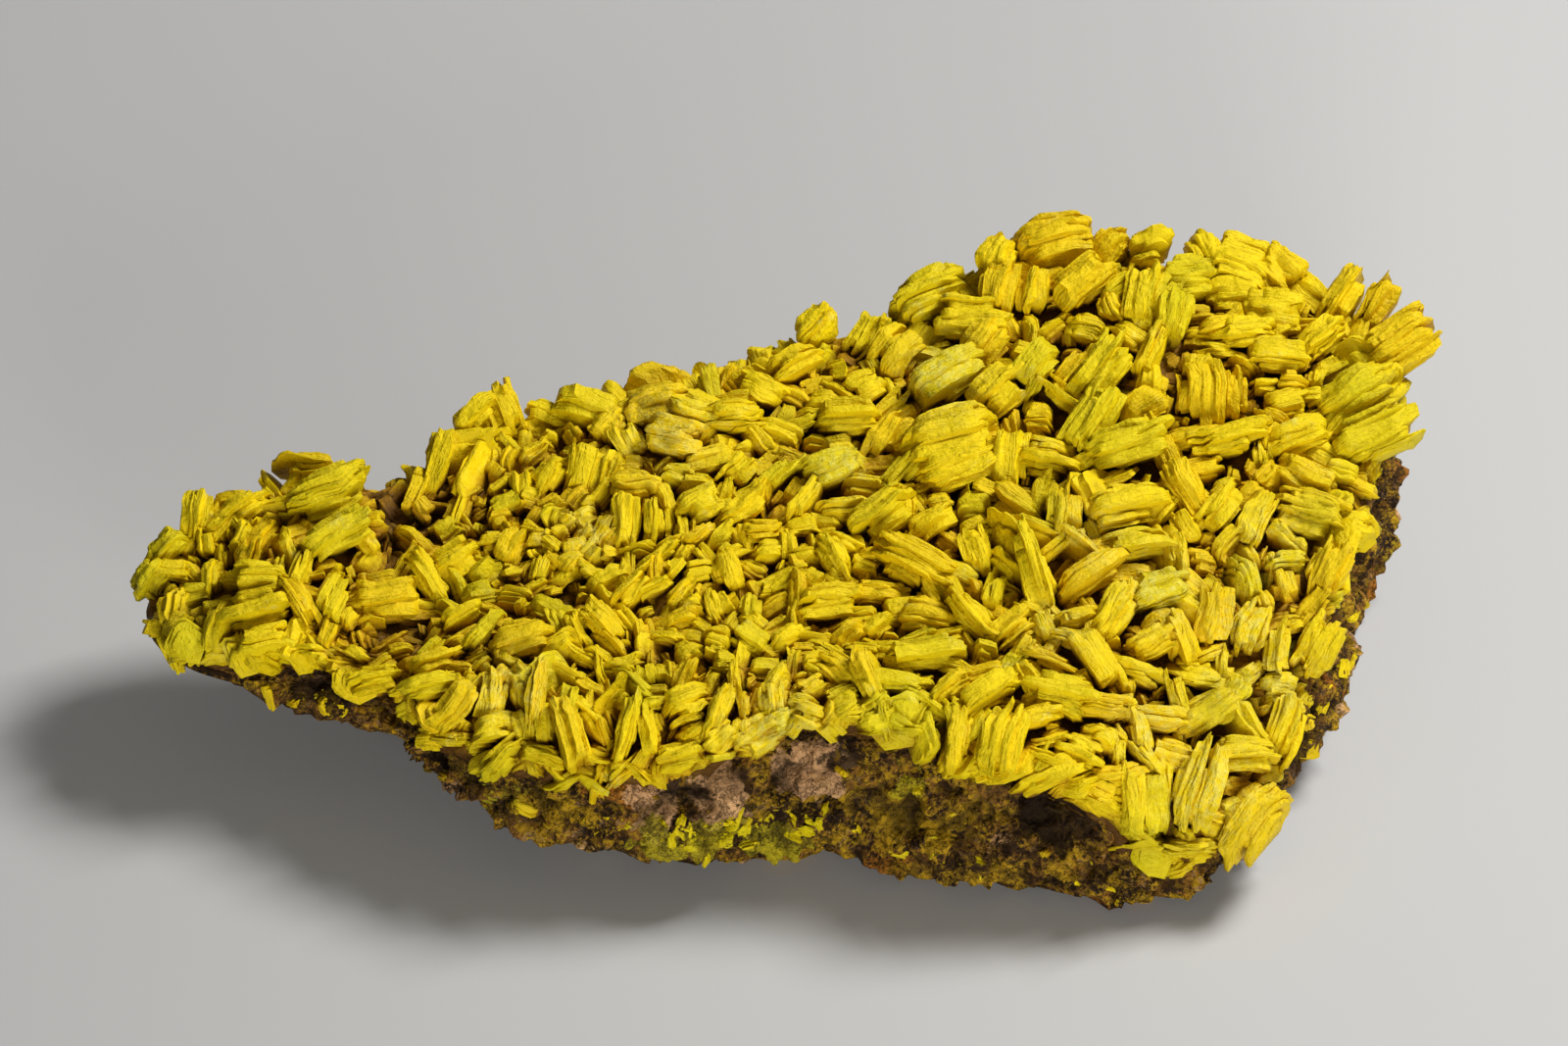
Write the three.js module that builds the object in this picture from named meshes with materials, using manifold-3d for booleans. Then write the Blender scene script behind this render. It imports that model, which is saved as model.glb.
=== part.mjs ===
// Meta-autunite specimen: a broken plate of rusty granite whose upper face carries a crust of
// yellow crystal books. A book is a stack of thin tablets, and the books stand on edge, side by side.
// Millimetres, +Z up, +Y away from the viewer. The origin is under the middle of the specimen, on the
// surface that it rests on.
import * as THREE from "three";
import { mergeVertices } from "three/addons/utils/BufferGeometryUtils.js";
import Module from "manifold-3d";

const wasm = await Module();
wasm.setup();

// The view that the crystals were placed from: the camera's elevation, the photograph's scale, and
// the pixel of the origin.
const VIEW_ELEVATION = THREE.MathUtils.degToRad(42);
const PIXELS_PER_MM = 13.3;
const ORIGIN_PIXEL = { x: 800, y: 698 };

// The plate's rim seen from above, counter-clockwise from the front right corner: x, y, and how far
// the foot of the rock lies inside the rim.
const RIM = [
  [27, -25.5, 0], [32, -24.5, 1.2], [36, -20.3, 1.6], [39.3, -13, 1.8], [42.3, -6, 1.8], [44.5, 2.5, 1.5],
  [46.3, 10.5, 1.2], [46.8, 18, 2], [44, 22.3, 3], [37, 23.6, 3.5], [28, 24.6, 3], [18, 24, 3],
  [11, 20.8, 2.5], [3, 18, 3], [-5, 15.2, 3], [-13, 12.4, 3], [-21, 10.4, 3], [-27, 7.6, 3],
  [-33, 5.4, 3], [-39, 5, 3], [-45, 2.8, 4], [-48.6, -3, 5], [-47, -8, 3], [-42, -10.5, 1],
  [-36.5, -11, -1.5], [-31, -13.8, 1], [-27, -18, 2.7], [-21.5, -21.4, 3.2], [-14, -22.8, 3],
  [-6, -22.6, 1.5], [0, -20.8, 0], [6, -20.8, 0.5], [11, -21.6, -0.7], [16, -23.4, 0], [22, -24.6, -0.3],
];
const CURVE_TENSION = 0.5;
const RIM_SAMPLES = 720;
const ROCK_STEPS = 84;
const BED_STEPS = 56;

// The rock's upper face: a plane that rises to the back, with smooth swells and dips on it.
const FACE = { height: 13.6, riseX: 0.03, riseY: 0.09, rimDrop: 1, dropFrom: 0.75, dropTo: 1.02 };
const NORMAL_STEP = 1.5;
const SWELLS = [
  { x: 24, y: 20, rise: 4.2, radius: 13 },
  { x: -9, y: 9, rise: 2.2, radius: 13 },
  { x: -36, y: 1, rise: 1.6, radius: 9 },
  { x: 4, y: 17, rise: 1.6, radius: 7 },
  { x: 17, y: 24, rise: 1.6, radius: 6 },
  { x: 2, y: -22, rise: 1.2, radius: 8 },
  { x: 40, y: -20, rise: -5.5, radius: 12 },
  { x: 29, y: -27, rise: -6, radius: 6 },
  { x: -28, y: -4, rise: -1.6, radius: 6 },
];

// The rock's underside lies flat and lifts towards the thin left end, and the foot is set back from it.
const UNDERSIDE_LIFT = { from: -8, to: -46, height: 8.5 };
const UNDERSIDE_RINGS = [0, 0.45, 0.82];
const FOOT_SETBACK = 2;
const FOOT_CHAMFER = 0.9;

// The rock's broken sides: levels from the foot to the rim, a bulge, small uneven lumps as a sum of
// waves, and the ledges, lumps and pits that stand out one by one.
const WALL_LEVELS = [0, 0.2, 0.42, 0.66, 0.88];
const WALL_BULGE = 1.1;
const WALL_TOP_DROP = 0.4;
const LUMP_HEIGHT = 1.3;
const LUMP_WAVES = [
  { share: 0.45, x: 0.62, y: 0.55, z: 0.9, shift: 1.3 },
  { share: 0.35, x: 1.35, y: -1.1, z: 1.6, shift: 0 },
  { share: 0.2, x: 2.9, y: 2.3, z: -2.1, shift: 0.6 },
];
const WALL_FORMS = [
  { x: 21.5, y: -24, z: 8, rise: -2.6, radius: 4 },
  { x: -32, y: -13, z: 9, rise: -1.8, radius: 4 },
  { x: -19, y: -20, z: 3.5, rise: 1.8, radius: 4 },
  { x: -5, y: -22, z: 6, rise: 1.1, radius: 4 },
  { x: 10, y: -21, z: 2.5, rise: 1.3, radius: 4 },
  { x: 44, y: 2, z: 8, rise: -1.5, radius: 5 },
  { x: 41, y: -10, z: 4, rise: 1.2, radius: 4 },
  { x: 40, y: 22, z: 6, rise: -1.6, radius: 5 },
  { x: 25, y: 23, z: 8, rise: 1.4, radius: 5 },
  { x: 12, y: 20, z: 5, rise: -1.5, radius: 4 },
  { x: 0, y: 16, z: 9, rise: 1.3, radius: 4 },
  { x: -12, y: 12, z: 6, rise: -1.6, radius: 5 },
  { x: -25, y: 8, z: 10, rise: 1.1, radius: 4 },
];
const FACE_RINGS = [0.86, 0.6, 0.3, 0];

// The crust: a bed of grown-together crystals, as layers of share of the way out, height over the
// rock's face and lap over the rim. It stays clear of the rock.
const BED_THICKNESS = 2.2;
const BED_LAYERS = [
  [0, -1.2, 0], [1, -1.2, 0.2], [1, 0, 0.9], [0.96, BED_THICKNESS, 0.3], [0.5, BED_THICKNESS, 0],
  [0, BED_THICKNESS, 0],
];
const BED_RIPPLE = { height: 0.35, scale: 1.7 };
const CRUST_GAP = 0.3;

// A book: how far it roots in the bed, how deep a tablet is against its length, which share of that
// stands over the book's middle, how far the middle stands over the bed, and how the stack fans out.
const BOOK_ROOT = 1.4;
const BOOK_DEPTH = { share: 0.85, least: 2.6, most: 5.2 };
const BOOK_OUTER_SHARE = 0.46;
const BOOK_LIFT = 0.3;
const BOOK_FAN = { rate: 0.3, least: -1, most: 0.2 };

// A tablet's outline: half its width at the root, and its outer corners as shares of its length and
// of its height over the middle.
const TABLET_ROOT_WIDTH = 0.36;
const TABLET_CORNERS = [[0.5, 0.35], [0.16, 1], [-0.5, 0.5]];

// The picked books are a little larger than their seen edges, turn from upright towards the viewer,
// and stay inside the rim and near the bed.
const PICKED_GROWTH = 1.15;
const PICKED_LEAN = 0.62;
const PICKED_RIM_LIMIT = 0.97;
const PICKED_REACH = 2.6;
const RAY_STEPS = 40;
const RAY_RELAXATION = 0.5;

// The books between them: their spacing, sizes, tilt, and how they lean out along the rim.
const FILL_SEED = 11;
const FILL_TRIES = 2500;
const FILL_SPACING = 5.1;
const FILL_LENGTH = [4.5, 6.5];
const FILL_STACK = [2.6, 4];
const FILL_SPLAY = 0.35;
const RIM_LEAN = { amount: 0.7, from: 0.85 };

// Books picked out one by one: the pixel of the middle of the fore-edge, the book's length and the
// thickness of its stack in millimetres, and the angle of its tablets' edges in degrees.
const PICKED_BOOKS = [
  [205, 527, 4.8, 2, 85], [337, 505, 6.2, 4, 28], [345, 545, 5.2, 2.6, 35], [317, 476, 4.2, 1.6, -8],
  [266, 619, 5.4, 2.8, 15], [158, 588, 3.4, 2.4, 60], [172, 560, 4, 2, 45], [449, 474, 6.2, 1.5, 78],
  [401, 507, 3.6, 2, -60], [401, 609, 4.4, 3.2, 10], [467, 573, 4, 2.8, 38], [522, 418, 4.4, 1.6, -70],
  [484, 428, 4.4, 2, 50], [596, 418, 6, 2.3, -25], [668, 413, 5, 2.9, 10], [749, 428, 5, 2.3, 8],
  [690, 446, 5.6, 3, -15], [535, 650, 4.8, 2.4, 15], [550, 706, 5.2, 1.5, 85], [586, 745, 5.6, 1.9, -75],
  [642, 742, 5.6, 1.3, 80], [701, 716, 4, 3, 30], [772, 747, 4.2, 2.6, 35], [899, 526, 5.2, 2.9, 40],
  [933, 574, 5.8, 3.3, -35], [1053, 585, 7, 2.1, -76], [1083, 526, 5, 2.3, 85],
  [1106, 587, 5.4, 2.3, 40], [1144, 518, 5.2, 2.6, 15], [1157, 554, 5, 2.4, 10],
  [1116, 669, 5.4, 2.2, -60], [1132, 625, 4.6, 2.5, 60], [1178, 602, 4.8, 2.9, 25],
  [846, 613, 4.6, 2.5, 8], [943, 664, 5.2, 2.4, 10], [1019, 750, 5.2, 3.4, 75],
  [1080, 708, 5.6, 2.6, -15], [1147, 812, 5.8, 1.9, 88], [1172, 815, 6.2, 1.9, -85],
  [1216, 800, 6.6, 3.4, 75], [1267, 832, 6.2, 4, 55], [1226, 722, 5.4, 2.3, 35], [1262, 766, 5, 2.4, 2],
  [1234, 628, 4.4, 2.5, 80], [1269, 640, 4.4, 2.5, 70], [1340, 655, 4.6, 3, 60],
  [1305, 740, 4.8, 2.6, 70], [1175, 243, 2.8, 2.2, 20], [1230, 248, 3.2, 2, -70],
  [1267, 253, 3.8, 3.4, -20], [1164, 308, 4.2, 2.6, 80], [1214, 284, 3.8, 3, 15],
  [1256, 297, 3.4, 3.4, 5], [1299, 319, 3.8, 3.4, -6], [1372, 301, 4.6, 2.1, 60],
  [1409, 308, 3.6, 1.9, 60], [1430, 349, 4.6, 3.6, 38], [1235, 402, 4, 4.8, 92], [1380, 400, 5.6, 3, 35],
  [1395, 445, 5.6, 3, 30], [1251, 448, 5.8, 1.9, 15], [1334, 525, 4.6, 3, -20],
  [1350, 580, 4.4, 2.8, 65], [1015, 247, 3, 2.4, 75], [1078, 247, 5.6, 3.4, 15],
  [1131, 250, 2.6, 2.2, 50], [1102, 289, 4.6, 2.5, 45], [915, 358, 3.8, 3.2, 55], [950, 302, 5, 3, 30],
  [993, 325, 4.4, 2.6, -5], [832, 325, 3.4, 2.4, 60], [962, 385, 5.6, 2.9, 35], [1022, 399, 4, 3, 40],
  [1122, 378, 5, 2.8, 55], [1116, 425, 5.4, 2.5, 60], [968, 461, 7.4, 5.6, 20],
  [1149, 454, 5.6, 2.5, 20], [866, 425, 4.6, 2.7, 2], [845, 480, 4.8, 2.4, 25],
];

// Tablets that turn a flat face to the viewer: pixel, length, depth and angle.
const FACE_TABLETS = [
  [915, 722, 4.8, 3.4, 5], [202, 645, 3.6, 2.8, -30], [1160, 862, 3.6, 3.6, 60], [355, 695, 3.4, 3.6, 80],
];
const TABLET_STACK = 1.2;

const COLOURS = { rock: 0x6b4a2c, crystal: 0xd9c415 };

// A repeatable sequence of numbers from 0 to 1.
function dice(seed) {
  let state = seed;
  return () => {
    state = (state + 0x6d2b79f5) | 0;
    let mixed = Math.imul(state ^ (state >>> 15), 1 | state);
    mixed = (mixed + Math.imul(mixed ^ (mixed >>> 7), 61 | mixed)) ^ mixed;
    return ((mixed ^ (mixed >>> 14)) >>> 0) / 4294967296;
  };
}

const smoothstep = (x, from, to) => THREE.MathUtils.smoothstep((x - from) / (to - from), 0, 1);

// A closed smooth curve through points.
const closedCurve = (points) => new THREE.CatmullRomCurve3(points, true, "catmullrom", CURVE_TENSION);

// The rim and the foot's inset along it, and the rim's distance from the origin in each direction.
const rimCurve = closedCurve(RIM.map(([x, y]) => new THREE.Vector3(x, y, 0)));
const insetCurve = closedCurve(RIM.map(([, , inset]) => new THREE.Vector3(inset, 0, 0)));
const rimPolar = Array.from({ length: RIM_SAMPLES }, (_, i) => {
  const point = rimCurve.getPoint(i / RIM_SAMPLES);
  return { angle: Math.atan2(point.y, point.x), radius: Math.hypot(point.x, point.y) };
}).sort((a, b) => a.angle - b.angle);

// Where a point lies between the origin, 0, and the rim, 1.
function rimFraction(x, y) {
  const angle = Math.atan2(y, x);
  let high = rimPolar.findIndex((sample) => sample.angle >= angle);
  if (high < 0) high = 0;
  return Math.hypot(x, y) / rimPolar[high].radius;
}

// A smooth hump or pit of one form at a distance from its middle.
const hump = (form, distance) => form.rise * Math.exp(-((distance / form.radius) ** 2));

// Height of the rock's upper face.
function faceHeight(x, y) {
  const swell = SWELLS.reduce((sum, form) => sum + hump(form, Math.hypot(x - form.x, y - form.y)), 0);
  const drop = FACE.rimDrop * smoothstep(rimFraction(x, y), FACE.dropFrom, FACE.dropTo);
  return FACE.height + FACE.riseX * x + FACE.riseY * y + swell - drop;
}

// The upper face's normal.
function faceNormal(x, y) {
  const slopeX = (faceHeight(x + NORMAL_STEP, y) - faceHeight(x - NORMAL_STEP, y)) / (2 * NORMAL_STEP);
  const slopeY = (faceHeight(x, y + NORMAL_STEP) - faceHeight(x, y - NORMAL_STEP)) / (2 * NORMAL_STEP);
  return new THREE.Vector3(-slopeX, -slopeY, 1).normalize();
}

// Height of the rock's underside.
const underside = (x) =>
  UNDERSIDE_LIFT.height * smoothstep(x, UNDERSIDE_LIFT.from, UNDERSIDE_LIFT.to);

// Uneven lumps on broken rock, from -1 to 1.
const lump = (x, y, z) => LUMP_WAVES.reduce(
  (sum, wave) => sum + wave.share * Math.sin(wave.x * x + wave.y * y + wave.z * z + wave.shift), 0,
);

// How far the rock's side stands out at a point, from its lumps, ledges and pits.
const wallRelief = (x, y, z) => WALL_FORMS.reduce(
  (sum, form) => sum + hump(form, Math.hypot(x - form.x, y - form.y, z - form.z)),
  LUMP_HEIGHT * lump(x, y, z),
);

// A closed surface of rings: each ring gives its share of the way out and a function of its place.
function ringSolid(rings, steps) {
  const profile = rings.map((ring, i) => new THREE.Vector2(ring.share, i));
  const geometry = new THREE.LatheGeometry(profile, steps);
  const position = geometry.getAttribute("position");
  for (let step = 0; step <= steps; step++) {
    const along = (step % steps) / steps;
    const rim = rimCurve.getPoint(along);
    const outward = new THREE.Vector2(rim.x, rim.y).normalize();
    const inset = insetCurve.getPoint(along).x;
    rings.forEach((ring, i) => {
      const place = ring.place(rim, outward, inset);
      position.setXYZ(step * rings.length + i, ...place);
    });
  }
  return solidOf(geometry);
}

// A closed mesh as a solid that can be joined and cut.
function solidOf(geometry) {
  const bare = geometry.clone();
  bare.deleteAttribute("normal");
  bare.deleteAttribute("uv");
  const merged = mergeVertices(bare, 1e-3);
  const solid = new wasm.Manifold(
    new wasm.Mesh({
      numProp: 3,
      vertProperties: merged.getAttribute("position").array,
      triVerts: new Uint32Array(merged.index.array),
    }),
  );
  return solid;
}

// The largest body of a solid, as a mesh geometry.
function geometryOf(solid) {
  const bodies = solid.decompose();
  const largest = bodies.reduce((a, b) => (b.volume() > a.volume() ? b : a));
  const mesh = largest.getMesh();
  const geometry = new THREE.BufferGeometry();
  geometry.setAttribute("position", new THREE.BufferAttribute(mesh.vertProperties, 3));
  geometry.setIndex(new THREE.BufferAttribute(mesh.triVerts, 1));
  geometry.computeVertexNormals();
  return geometry;
}

// The rock, grown by a margin on every side but the underside.
function rockSolid(margin) {
  const bottom = (share) => ({
    share,
    place: (rim, outward, inset) => {
      const reach = share * (1 - (inset + FOOT_SETBACK) / Math.hypot(rim.x, rim.y));
      return [rim.x * reach, rim.y * reach, underside(rim.x * reach)];
    },
  });
  const wall = (level) => ({
    share: 1,
    place: (rim, outward, inset) => {
      const low = underside(rim.x) + FOOT_CHAMFER;
      const high = faceHeight(rim.x, rim.y) - WALL_TOP_DROP;
      const z = low + (high - low) * level;
      const bulge = WALL_BULGE * Math.sin(Math.PI * level) + wallRelief(rim.x, rim.y, z);
      const out = margin + bulge - inset * (1 - level);
      return [rim.x + outward.x * out, rim.y + outward.y * out, z + margin * level];
    },
  });
  const edge = {
    share: 1,
    place: (rim, outward) => [
      rim.x + outward.x * margin, rim.y + outward.y * margin, faceHeight(rim.x, rim.y) + margin,
    ],
  };
  const top = (share) => ({
    share,
    place: (rim) => {
      const [x, y] = [rim.x * share, rim.y * share];
      return [x, y, faceHeight(x, y) + margin];
    },
  });
  return ringSolid(
    [...UNDERSIDE_RINGS.map(bottom), ...WALL_LEVELS.map(wall), edge, ...FACE_RINGS.map(top)], ROCK_STEPS,
  );
}

// The bed under the books: it lies on the rock's upper face and laps over the rim.
function bedSolid() {
  const layer = ([share, lift, lap]) => ({
    share,
    place: (rim, outward) => {
      const x = rim.x * share + outward.x * lap;
      const y = rim.y * share + outward.y * lap;
      const rippled = lift > 0 && share > 0;
      const ripple = rippled ? BED_RIPPLE.height * lump(BED_RIPPLE.scale * x, BED_RIPPLE.scale * y, 0) : 0;
      return [x, y, faceHeight(rim.x * share, rim.y * share) + lift + ripple];
    },
  });
  return ringSolid(BED_LAYERS.map(layer), BED_STEPS);
}

// The camera's right, up and backward directions.
const RIGHT = new THREE.Vector3(1, 0, 0);
const UP = new THREE.Vector3(0, Math.sin(VIEW_ELEVATION), Math.cos(VIEW_ELEVATION));
const BACK = new THREE.Vector3(0, -Math.cos(VIEW_ELEVATION), Math.sin(VIEW_ELEVATION));

// The point of the bed, raised by lift, that a pixel of the photograph shows. Past the rim it is the
// point of the pixel's ray that stands over the rim, no higher than a book reaches.
function pointAtPixel(pixelX, pixelY, lift) {
  const x = (pixelX - ORIGIN_PIXEL.x) / PIXELS_PER_MM;
  const v = (ORIGIN_PIXEL.y - pixelY) / PIXELS_PER_MM;
  let y = 0;
  for (let i = 0; i < RAY_STEPS; i++) {
    const z = faceHeight(x, y) + BED_THICKNESS + lift;
    y += RAY_RELAXATION * ((v - z * UP.z) / UP.y - y);
  }
  const fraction = rimFraction(x, y);
  if (fraction > PICKED_RIM_LIMIT) y *= PICKED_RIM_LIMIT / fraction;
  const highest = faceHeight(x, y) + BED_THICKNESS + PICKED_REACH;
  return new THREE.Vector3(x, y, Math.min((v - y * UP.y) / UP.z, highest));
}

// One book: a five-sided tablet outline, stacked to a block that fans out towards its top.
function bookGeometry(length, depth, stack) {
  const outer = BOOK_OUTER_SHARE * depth;
  const inner = outer - depth - BOOK_ROOT;
  const outline = [
    new THREE.Vector2(TABLET_ROOT_WIDTH * length, inner),
    ...TABLET_CORNERS.map(([along, out]) => new THREE.Vector2(along * length, out * outer)),
    new THREE.Vector2(-TABLET_ROOT_WIDTH * length, inner),
  ];
  const geometry = new THREE.ExtrudeGeometry(new THREE.Shape(outline), { depth: stack, bevelEnabled: false });
  geometry.translate(0, 0, -stack / 2);
  const position = geometry.getAttribute("position");
  for (let i = 0; i < position.count; i++) {
    const height = THREE.MathUtils.clamp(position.getY(i) / outer, BOOK_FAN.least, BOOK_FAN.most);
    position.setZ(i, position.getZ(i) * (1 + BOOK_FAN.rate * height));
  }
  return geometry;
}

const bookDepth = (length) =>
  THREE.MathUtils.clamp(BOOK_DEPTH.share * length, BOOK_DEPTH.least, BOOK_DEPTH.most);

// Sets a book's geometry in place: along its tablets' edges, out of the crust, and across the stack.
function placed(geometry, centre, along, out) {
  const across = new THREE.Vector3().crossVectors(along, out).normalize();
  const upright = new THREE.Vector3().crossVectors(across, along);
  const matrix = new THREE.Matrix4().makeBasis(along, upright, across).setPosition(centre);
  return geometry.applyMatrix4(matrix);
}

// A book picked out of the photograph, with its tablets edge-on to the viewer, or nearly.
function pickedBook([pixelX, pixelY, seenLength, seenStack, angle]) {
  const length = PICKED_GROWTH * seenLength;
  const stack = PICKED_GROWTH * seenStack;
  const depth = bookDepth(length);
  const centre = pointAtPixel(pixelX, pixelY, BOOK_LIFT * depth);
  const turn = THREE.MathUtils.degToRad(angle);
  const along = RIGHT.clone().multiplyScalar(Math.cos(turn)).addScaledVector(UP, Math.sin(turn));
  const out = faceNormal(centre.x, centre.y).lerp(BACK, PICKED_LEAN);
  out.addScaledVector(along, -out.dot(along)).normalize();
  return { centre, solid: solidOf(placed(bookGeometry(length, depth, stack), centre, along, out)) };
}

// A tablet that lies with its flat face to the viewer.
function faceTablet([pixelX, pixelY, length, depth, angle]) {
  const centre = pointAtPixel(pixelX, pixelY, 0);
  const turn = THREE.MathUtils.degToRad(angle);
  const along = RIGHT.clone().multiplyScalar(Math.cos(turn)).addScaledVector(UP, Math.sin(turn));
  const out = new THREE.Vector3().crossVectors(BACK, along);
  return { centre, solid: solidOf(placed(bookGeometry(length, depth, TABLET_STACK), centre, along, out)) };
}

// Books between the picked ones, wherever there is room, at random turns.
function fillingBooks(taken) {
  const roll = dice(FILL_SEED);
  const between = ([low, high]) => low + (high - low) * roll();
  const made = [];
  for (let i = 0; i < FILL_TRIES; i++) {
    const rim = rimCurve.getPoint(roll());
    const share = Math.sqrt(roll());
    const [x, y] = [rim.x * share, rim.y * share];
    const length = between(FILL_LENGTH);
    const stack = between(FILL_STACK);
    const turn = 2 * Math.PI * roll();
    const splay = FILL_SPLAY * (roll() - 0.5);
    const depth = bookDepth(length);
    const centre = new THREE.Vector3(x, y, faceHeight(x, y) + BED_THICKNESS + BOOK_LIFT * depth);
    if (taken.some((other) => other.distanceTo(centre) < FILL_SPACING)) continue;
    taken.push(centre);
    const normal = faceNormal(x, y);
    const along = new THREE.Vector3(Math.cos(turn), Math.sin(turn), splay);
    along.addScaledVector(normal, -along.dot(normal)).normalize();
    const outward = new THREE.Vector3(x, y, 0).normalize();
    const lean = RIM_LEAN.amount * smoothstep(share, RIM_LEAN.from, 1);
    const out = normal.addScaledVector(outward, lean);
    out.addScaledVector(along, -out.dot(along)).normalize();
    made.push(solidOf(placed(bookGeometry(length, depth, stack), centre, along, out)));
  }
  return made;
}

// The crust: the bed and its books joined in one, cut clear of the rock and of the resting surface.
function crustSolid() {
  const picked = [...PICKED_BOOKS.map(pickedBook), ...FACE_TABLETS.map(faceTablet)];
  const filling = fillingBooks(picked.map((book) => book.centre));
  const books = [...picked.map((book) => book.solid), ...filling];
  const grown = books.reduce((sum, book) => sum.add(book), bedSolid());
  return grown.subtract(rockSolid(CRUST_GAP)).subtract(rockSolid(0));
}

function piece(name, solid, material) {
  const mesh = new THREE.Mesh(geometryOf(solid), new THREE.MeshStandardMaterial(material));
  mesh.name = name;
  return mesh;
}

const specimen = new THREE.Group();
specimen.add(piece("matrix", rockSolid(0), { color: COLOURS.rock, roughness: 0.85, metalness: 0 }));
specimen.add(piece("crystal_crust", crustSolid(), { color: COLOURS.crystal, roughness: 0.5, metalness: 0 }));

export default specimen;
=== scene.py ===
"""Looks of a meta-autunite specimen: a rusty granite plate with a crust of yellow crystal books."""

import math

import bpy
import numpy as np
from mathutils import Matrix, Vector


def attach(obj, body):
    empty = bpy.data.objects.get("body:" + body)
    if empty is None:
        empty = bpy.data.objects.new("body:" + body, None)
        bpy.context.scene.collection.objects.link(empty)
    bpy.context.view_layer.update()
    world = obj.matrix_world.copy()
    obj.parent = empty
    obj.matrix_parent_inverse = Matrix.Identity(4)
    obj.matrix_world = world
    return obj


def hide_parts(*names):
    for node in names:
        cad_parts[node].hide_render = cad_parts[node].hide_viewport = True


bl_info = {
    "name": "Meta-autunite specimen",
    "version": (1, 0, 0),
    "blender": (4, 5, 0),
    "location": "View3D > Sidebar > Specimen",
    "description": "Builds the granite matrix, the bed and the crystal books of a mineral specimen",
    "category": "Mesh",
}

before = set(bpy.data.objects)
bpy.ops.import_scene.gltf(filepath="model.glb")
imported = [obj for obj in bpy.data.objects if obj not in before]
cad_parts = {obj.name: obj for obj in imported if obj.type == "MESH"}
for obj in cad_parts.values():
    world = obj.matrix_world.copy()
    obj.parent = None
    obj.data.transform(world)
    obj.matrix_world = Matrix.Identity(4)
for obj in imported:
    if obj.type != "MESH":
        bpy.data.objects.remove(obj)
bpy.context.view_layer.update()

# Lengths below are millimetres, as on the specimen. Meshes are written in metres.
MM = 0.001

# The view that the crystals were placed from.
VIEW_ELEVATION = math.radians(42)
PIXELS_PER_MM = 13.3
ORIGIN_PIXEL = (800, 698)
PHOTO_SIZE = (1600, 1067)
RIGHT = np.array([1.0, 0.0, 0.0])
UP = np.array([0.0, math.sin(VIEW_ELEVATION), math.cos(VIEW_ELEVATION)])
BACK = np.array([0.0, -math.cos(VIEW_ELEVATION), math.sin(VIEW_ELEVATION)])

# The plate's rim from above, counter-clockwise: x, y, and how far the rock's foot lies inside it.
RIM = np.array([
    [27, -25.5, 0], [32, -24.5, 1.2], [36, -20.3, 1.6], [39.3, -13, 1.8], [42.3, -6, 1.8], [44.5, 2.5, 1.5],
    [46.3, 10.5, 1.2], [46.8, 18, 2], [44, 22.3, 3], [37, 23.6, 3.5], [28, 24.6, 3], [18, 24, 3],
    [11, 20.8, 2.5], [3, 18, 3], [-5, 15.2, 3], [-13, 12.4, 3], [-21, 10.4, 3], [-27, 7.6, 3],
    [-33, 5.4, 3], [-39, 5, 3], [-45, 2.8, 4], [-48.6, -3, 5], [-47, -8, 3], [-42, -10.5, 1],
    [-36.5, -11, -1.5], [-31, -13.8, 1], [-27, -18, 2.7], [-21.5, -21.4, 3.2], [-14, -22.8, 3],
    [-6, -22.6, 1.5], [0, -20.8, 0], [6, -20.8, 0.5], [11, -21.6, -0.7], [16, -23.4, 0], [22, -24.6, -0.3],
])
CURVE_TENSION = 0.5
RIM_SAMPLES = 720

# The rock's upper face: a plane that rises to the back, with swells of x, y, rise and radius.
FACE = {"height": 13.6, "rise_x": 0.03, "rise_y": 0.09, "rim_drop": 1.0, "drop_from": 0.75, "drop_to": 1.02}
SWELLS = [
    (24, 20, 4.2, 13), (-9, 9, 2.2, 13), (-36, 1, 1.6, 9), (4, 17, 1.6, 7), (17, 24, 1.6, 6),
    (2, -22, 1.2, 8), (40, -20, -5.5, 12), (29, -27, -6, 6), (-28, -4, -1.6, 6),
]
NORMAL_STEP = 1.5

# The rock's underside and sides, with ledges and pits of x, y, z, rise and radius.
UNDERSIDE_LIFT = {"from": -8, "to": -46, "height": 8.5}
FOOT_SETBACK = 2.0
FOOT_CHAMFER = 0.9
WALL_BULGE = 1.1
WALL_TOP_DROP = 0.4
WALL_FORMS = [
    (21.5, -24, 8, -2.6, 4), (-32, -13, 9, -1.8, 4), (-19, -20, 3.5, 1.8, 4), (-5, -22, 6, 1.1, 4),
    (10, -21, 2.5, 1.3, 4), (44, 2, 8, -1.5, 5), (41, -10, 4, 1.2, 4), (40, 22, 6, -1.6, 5),
    (25, 23, 8, 1.4, 5), (12, 20, 5, -1.5, 4), (0, 16, 9, 1.3, 4), (-12, 12, 6, -1.6, 5),
    (-25, 8, 10, 1.1, 4),
]
BED_THICKNESS = 2.2

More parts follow.
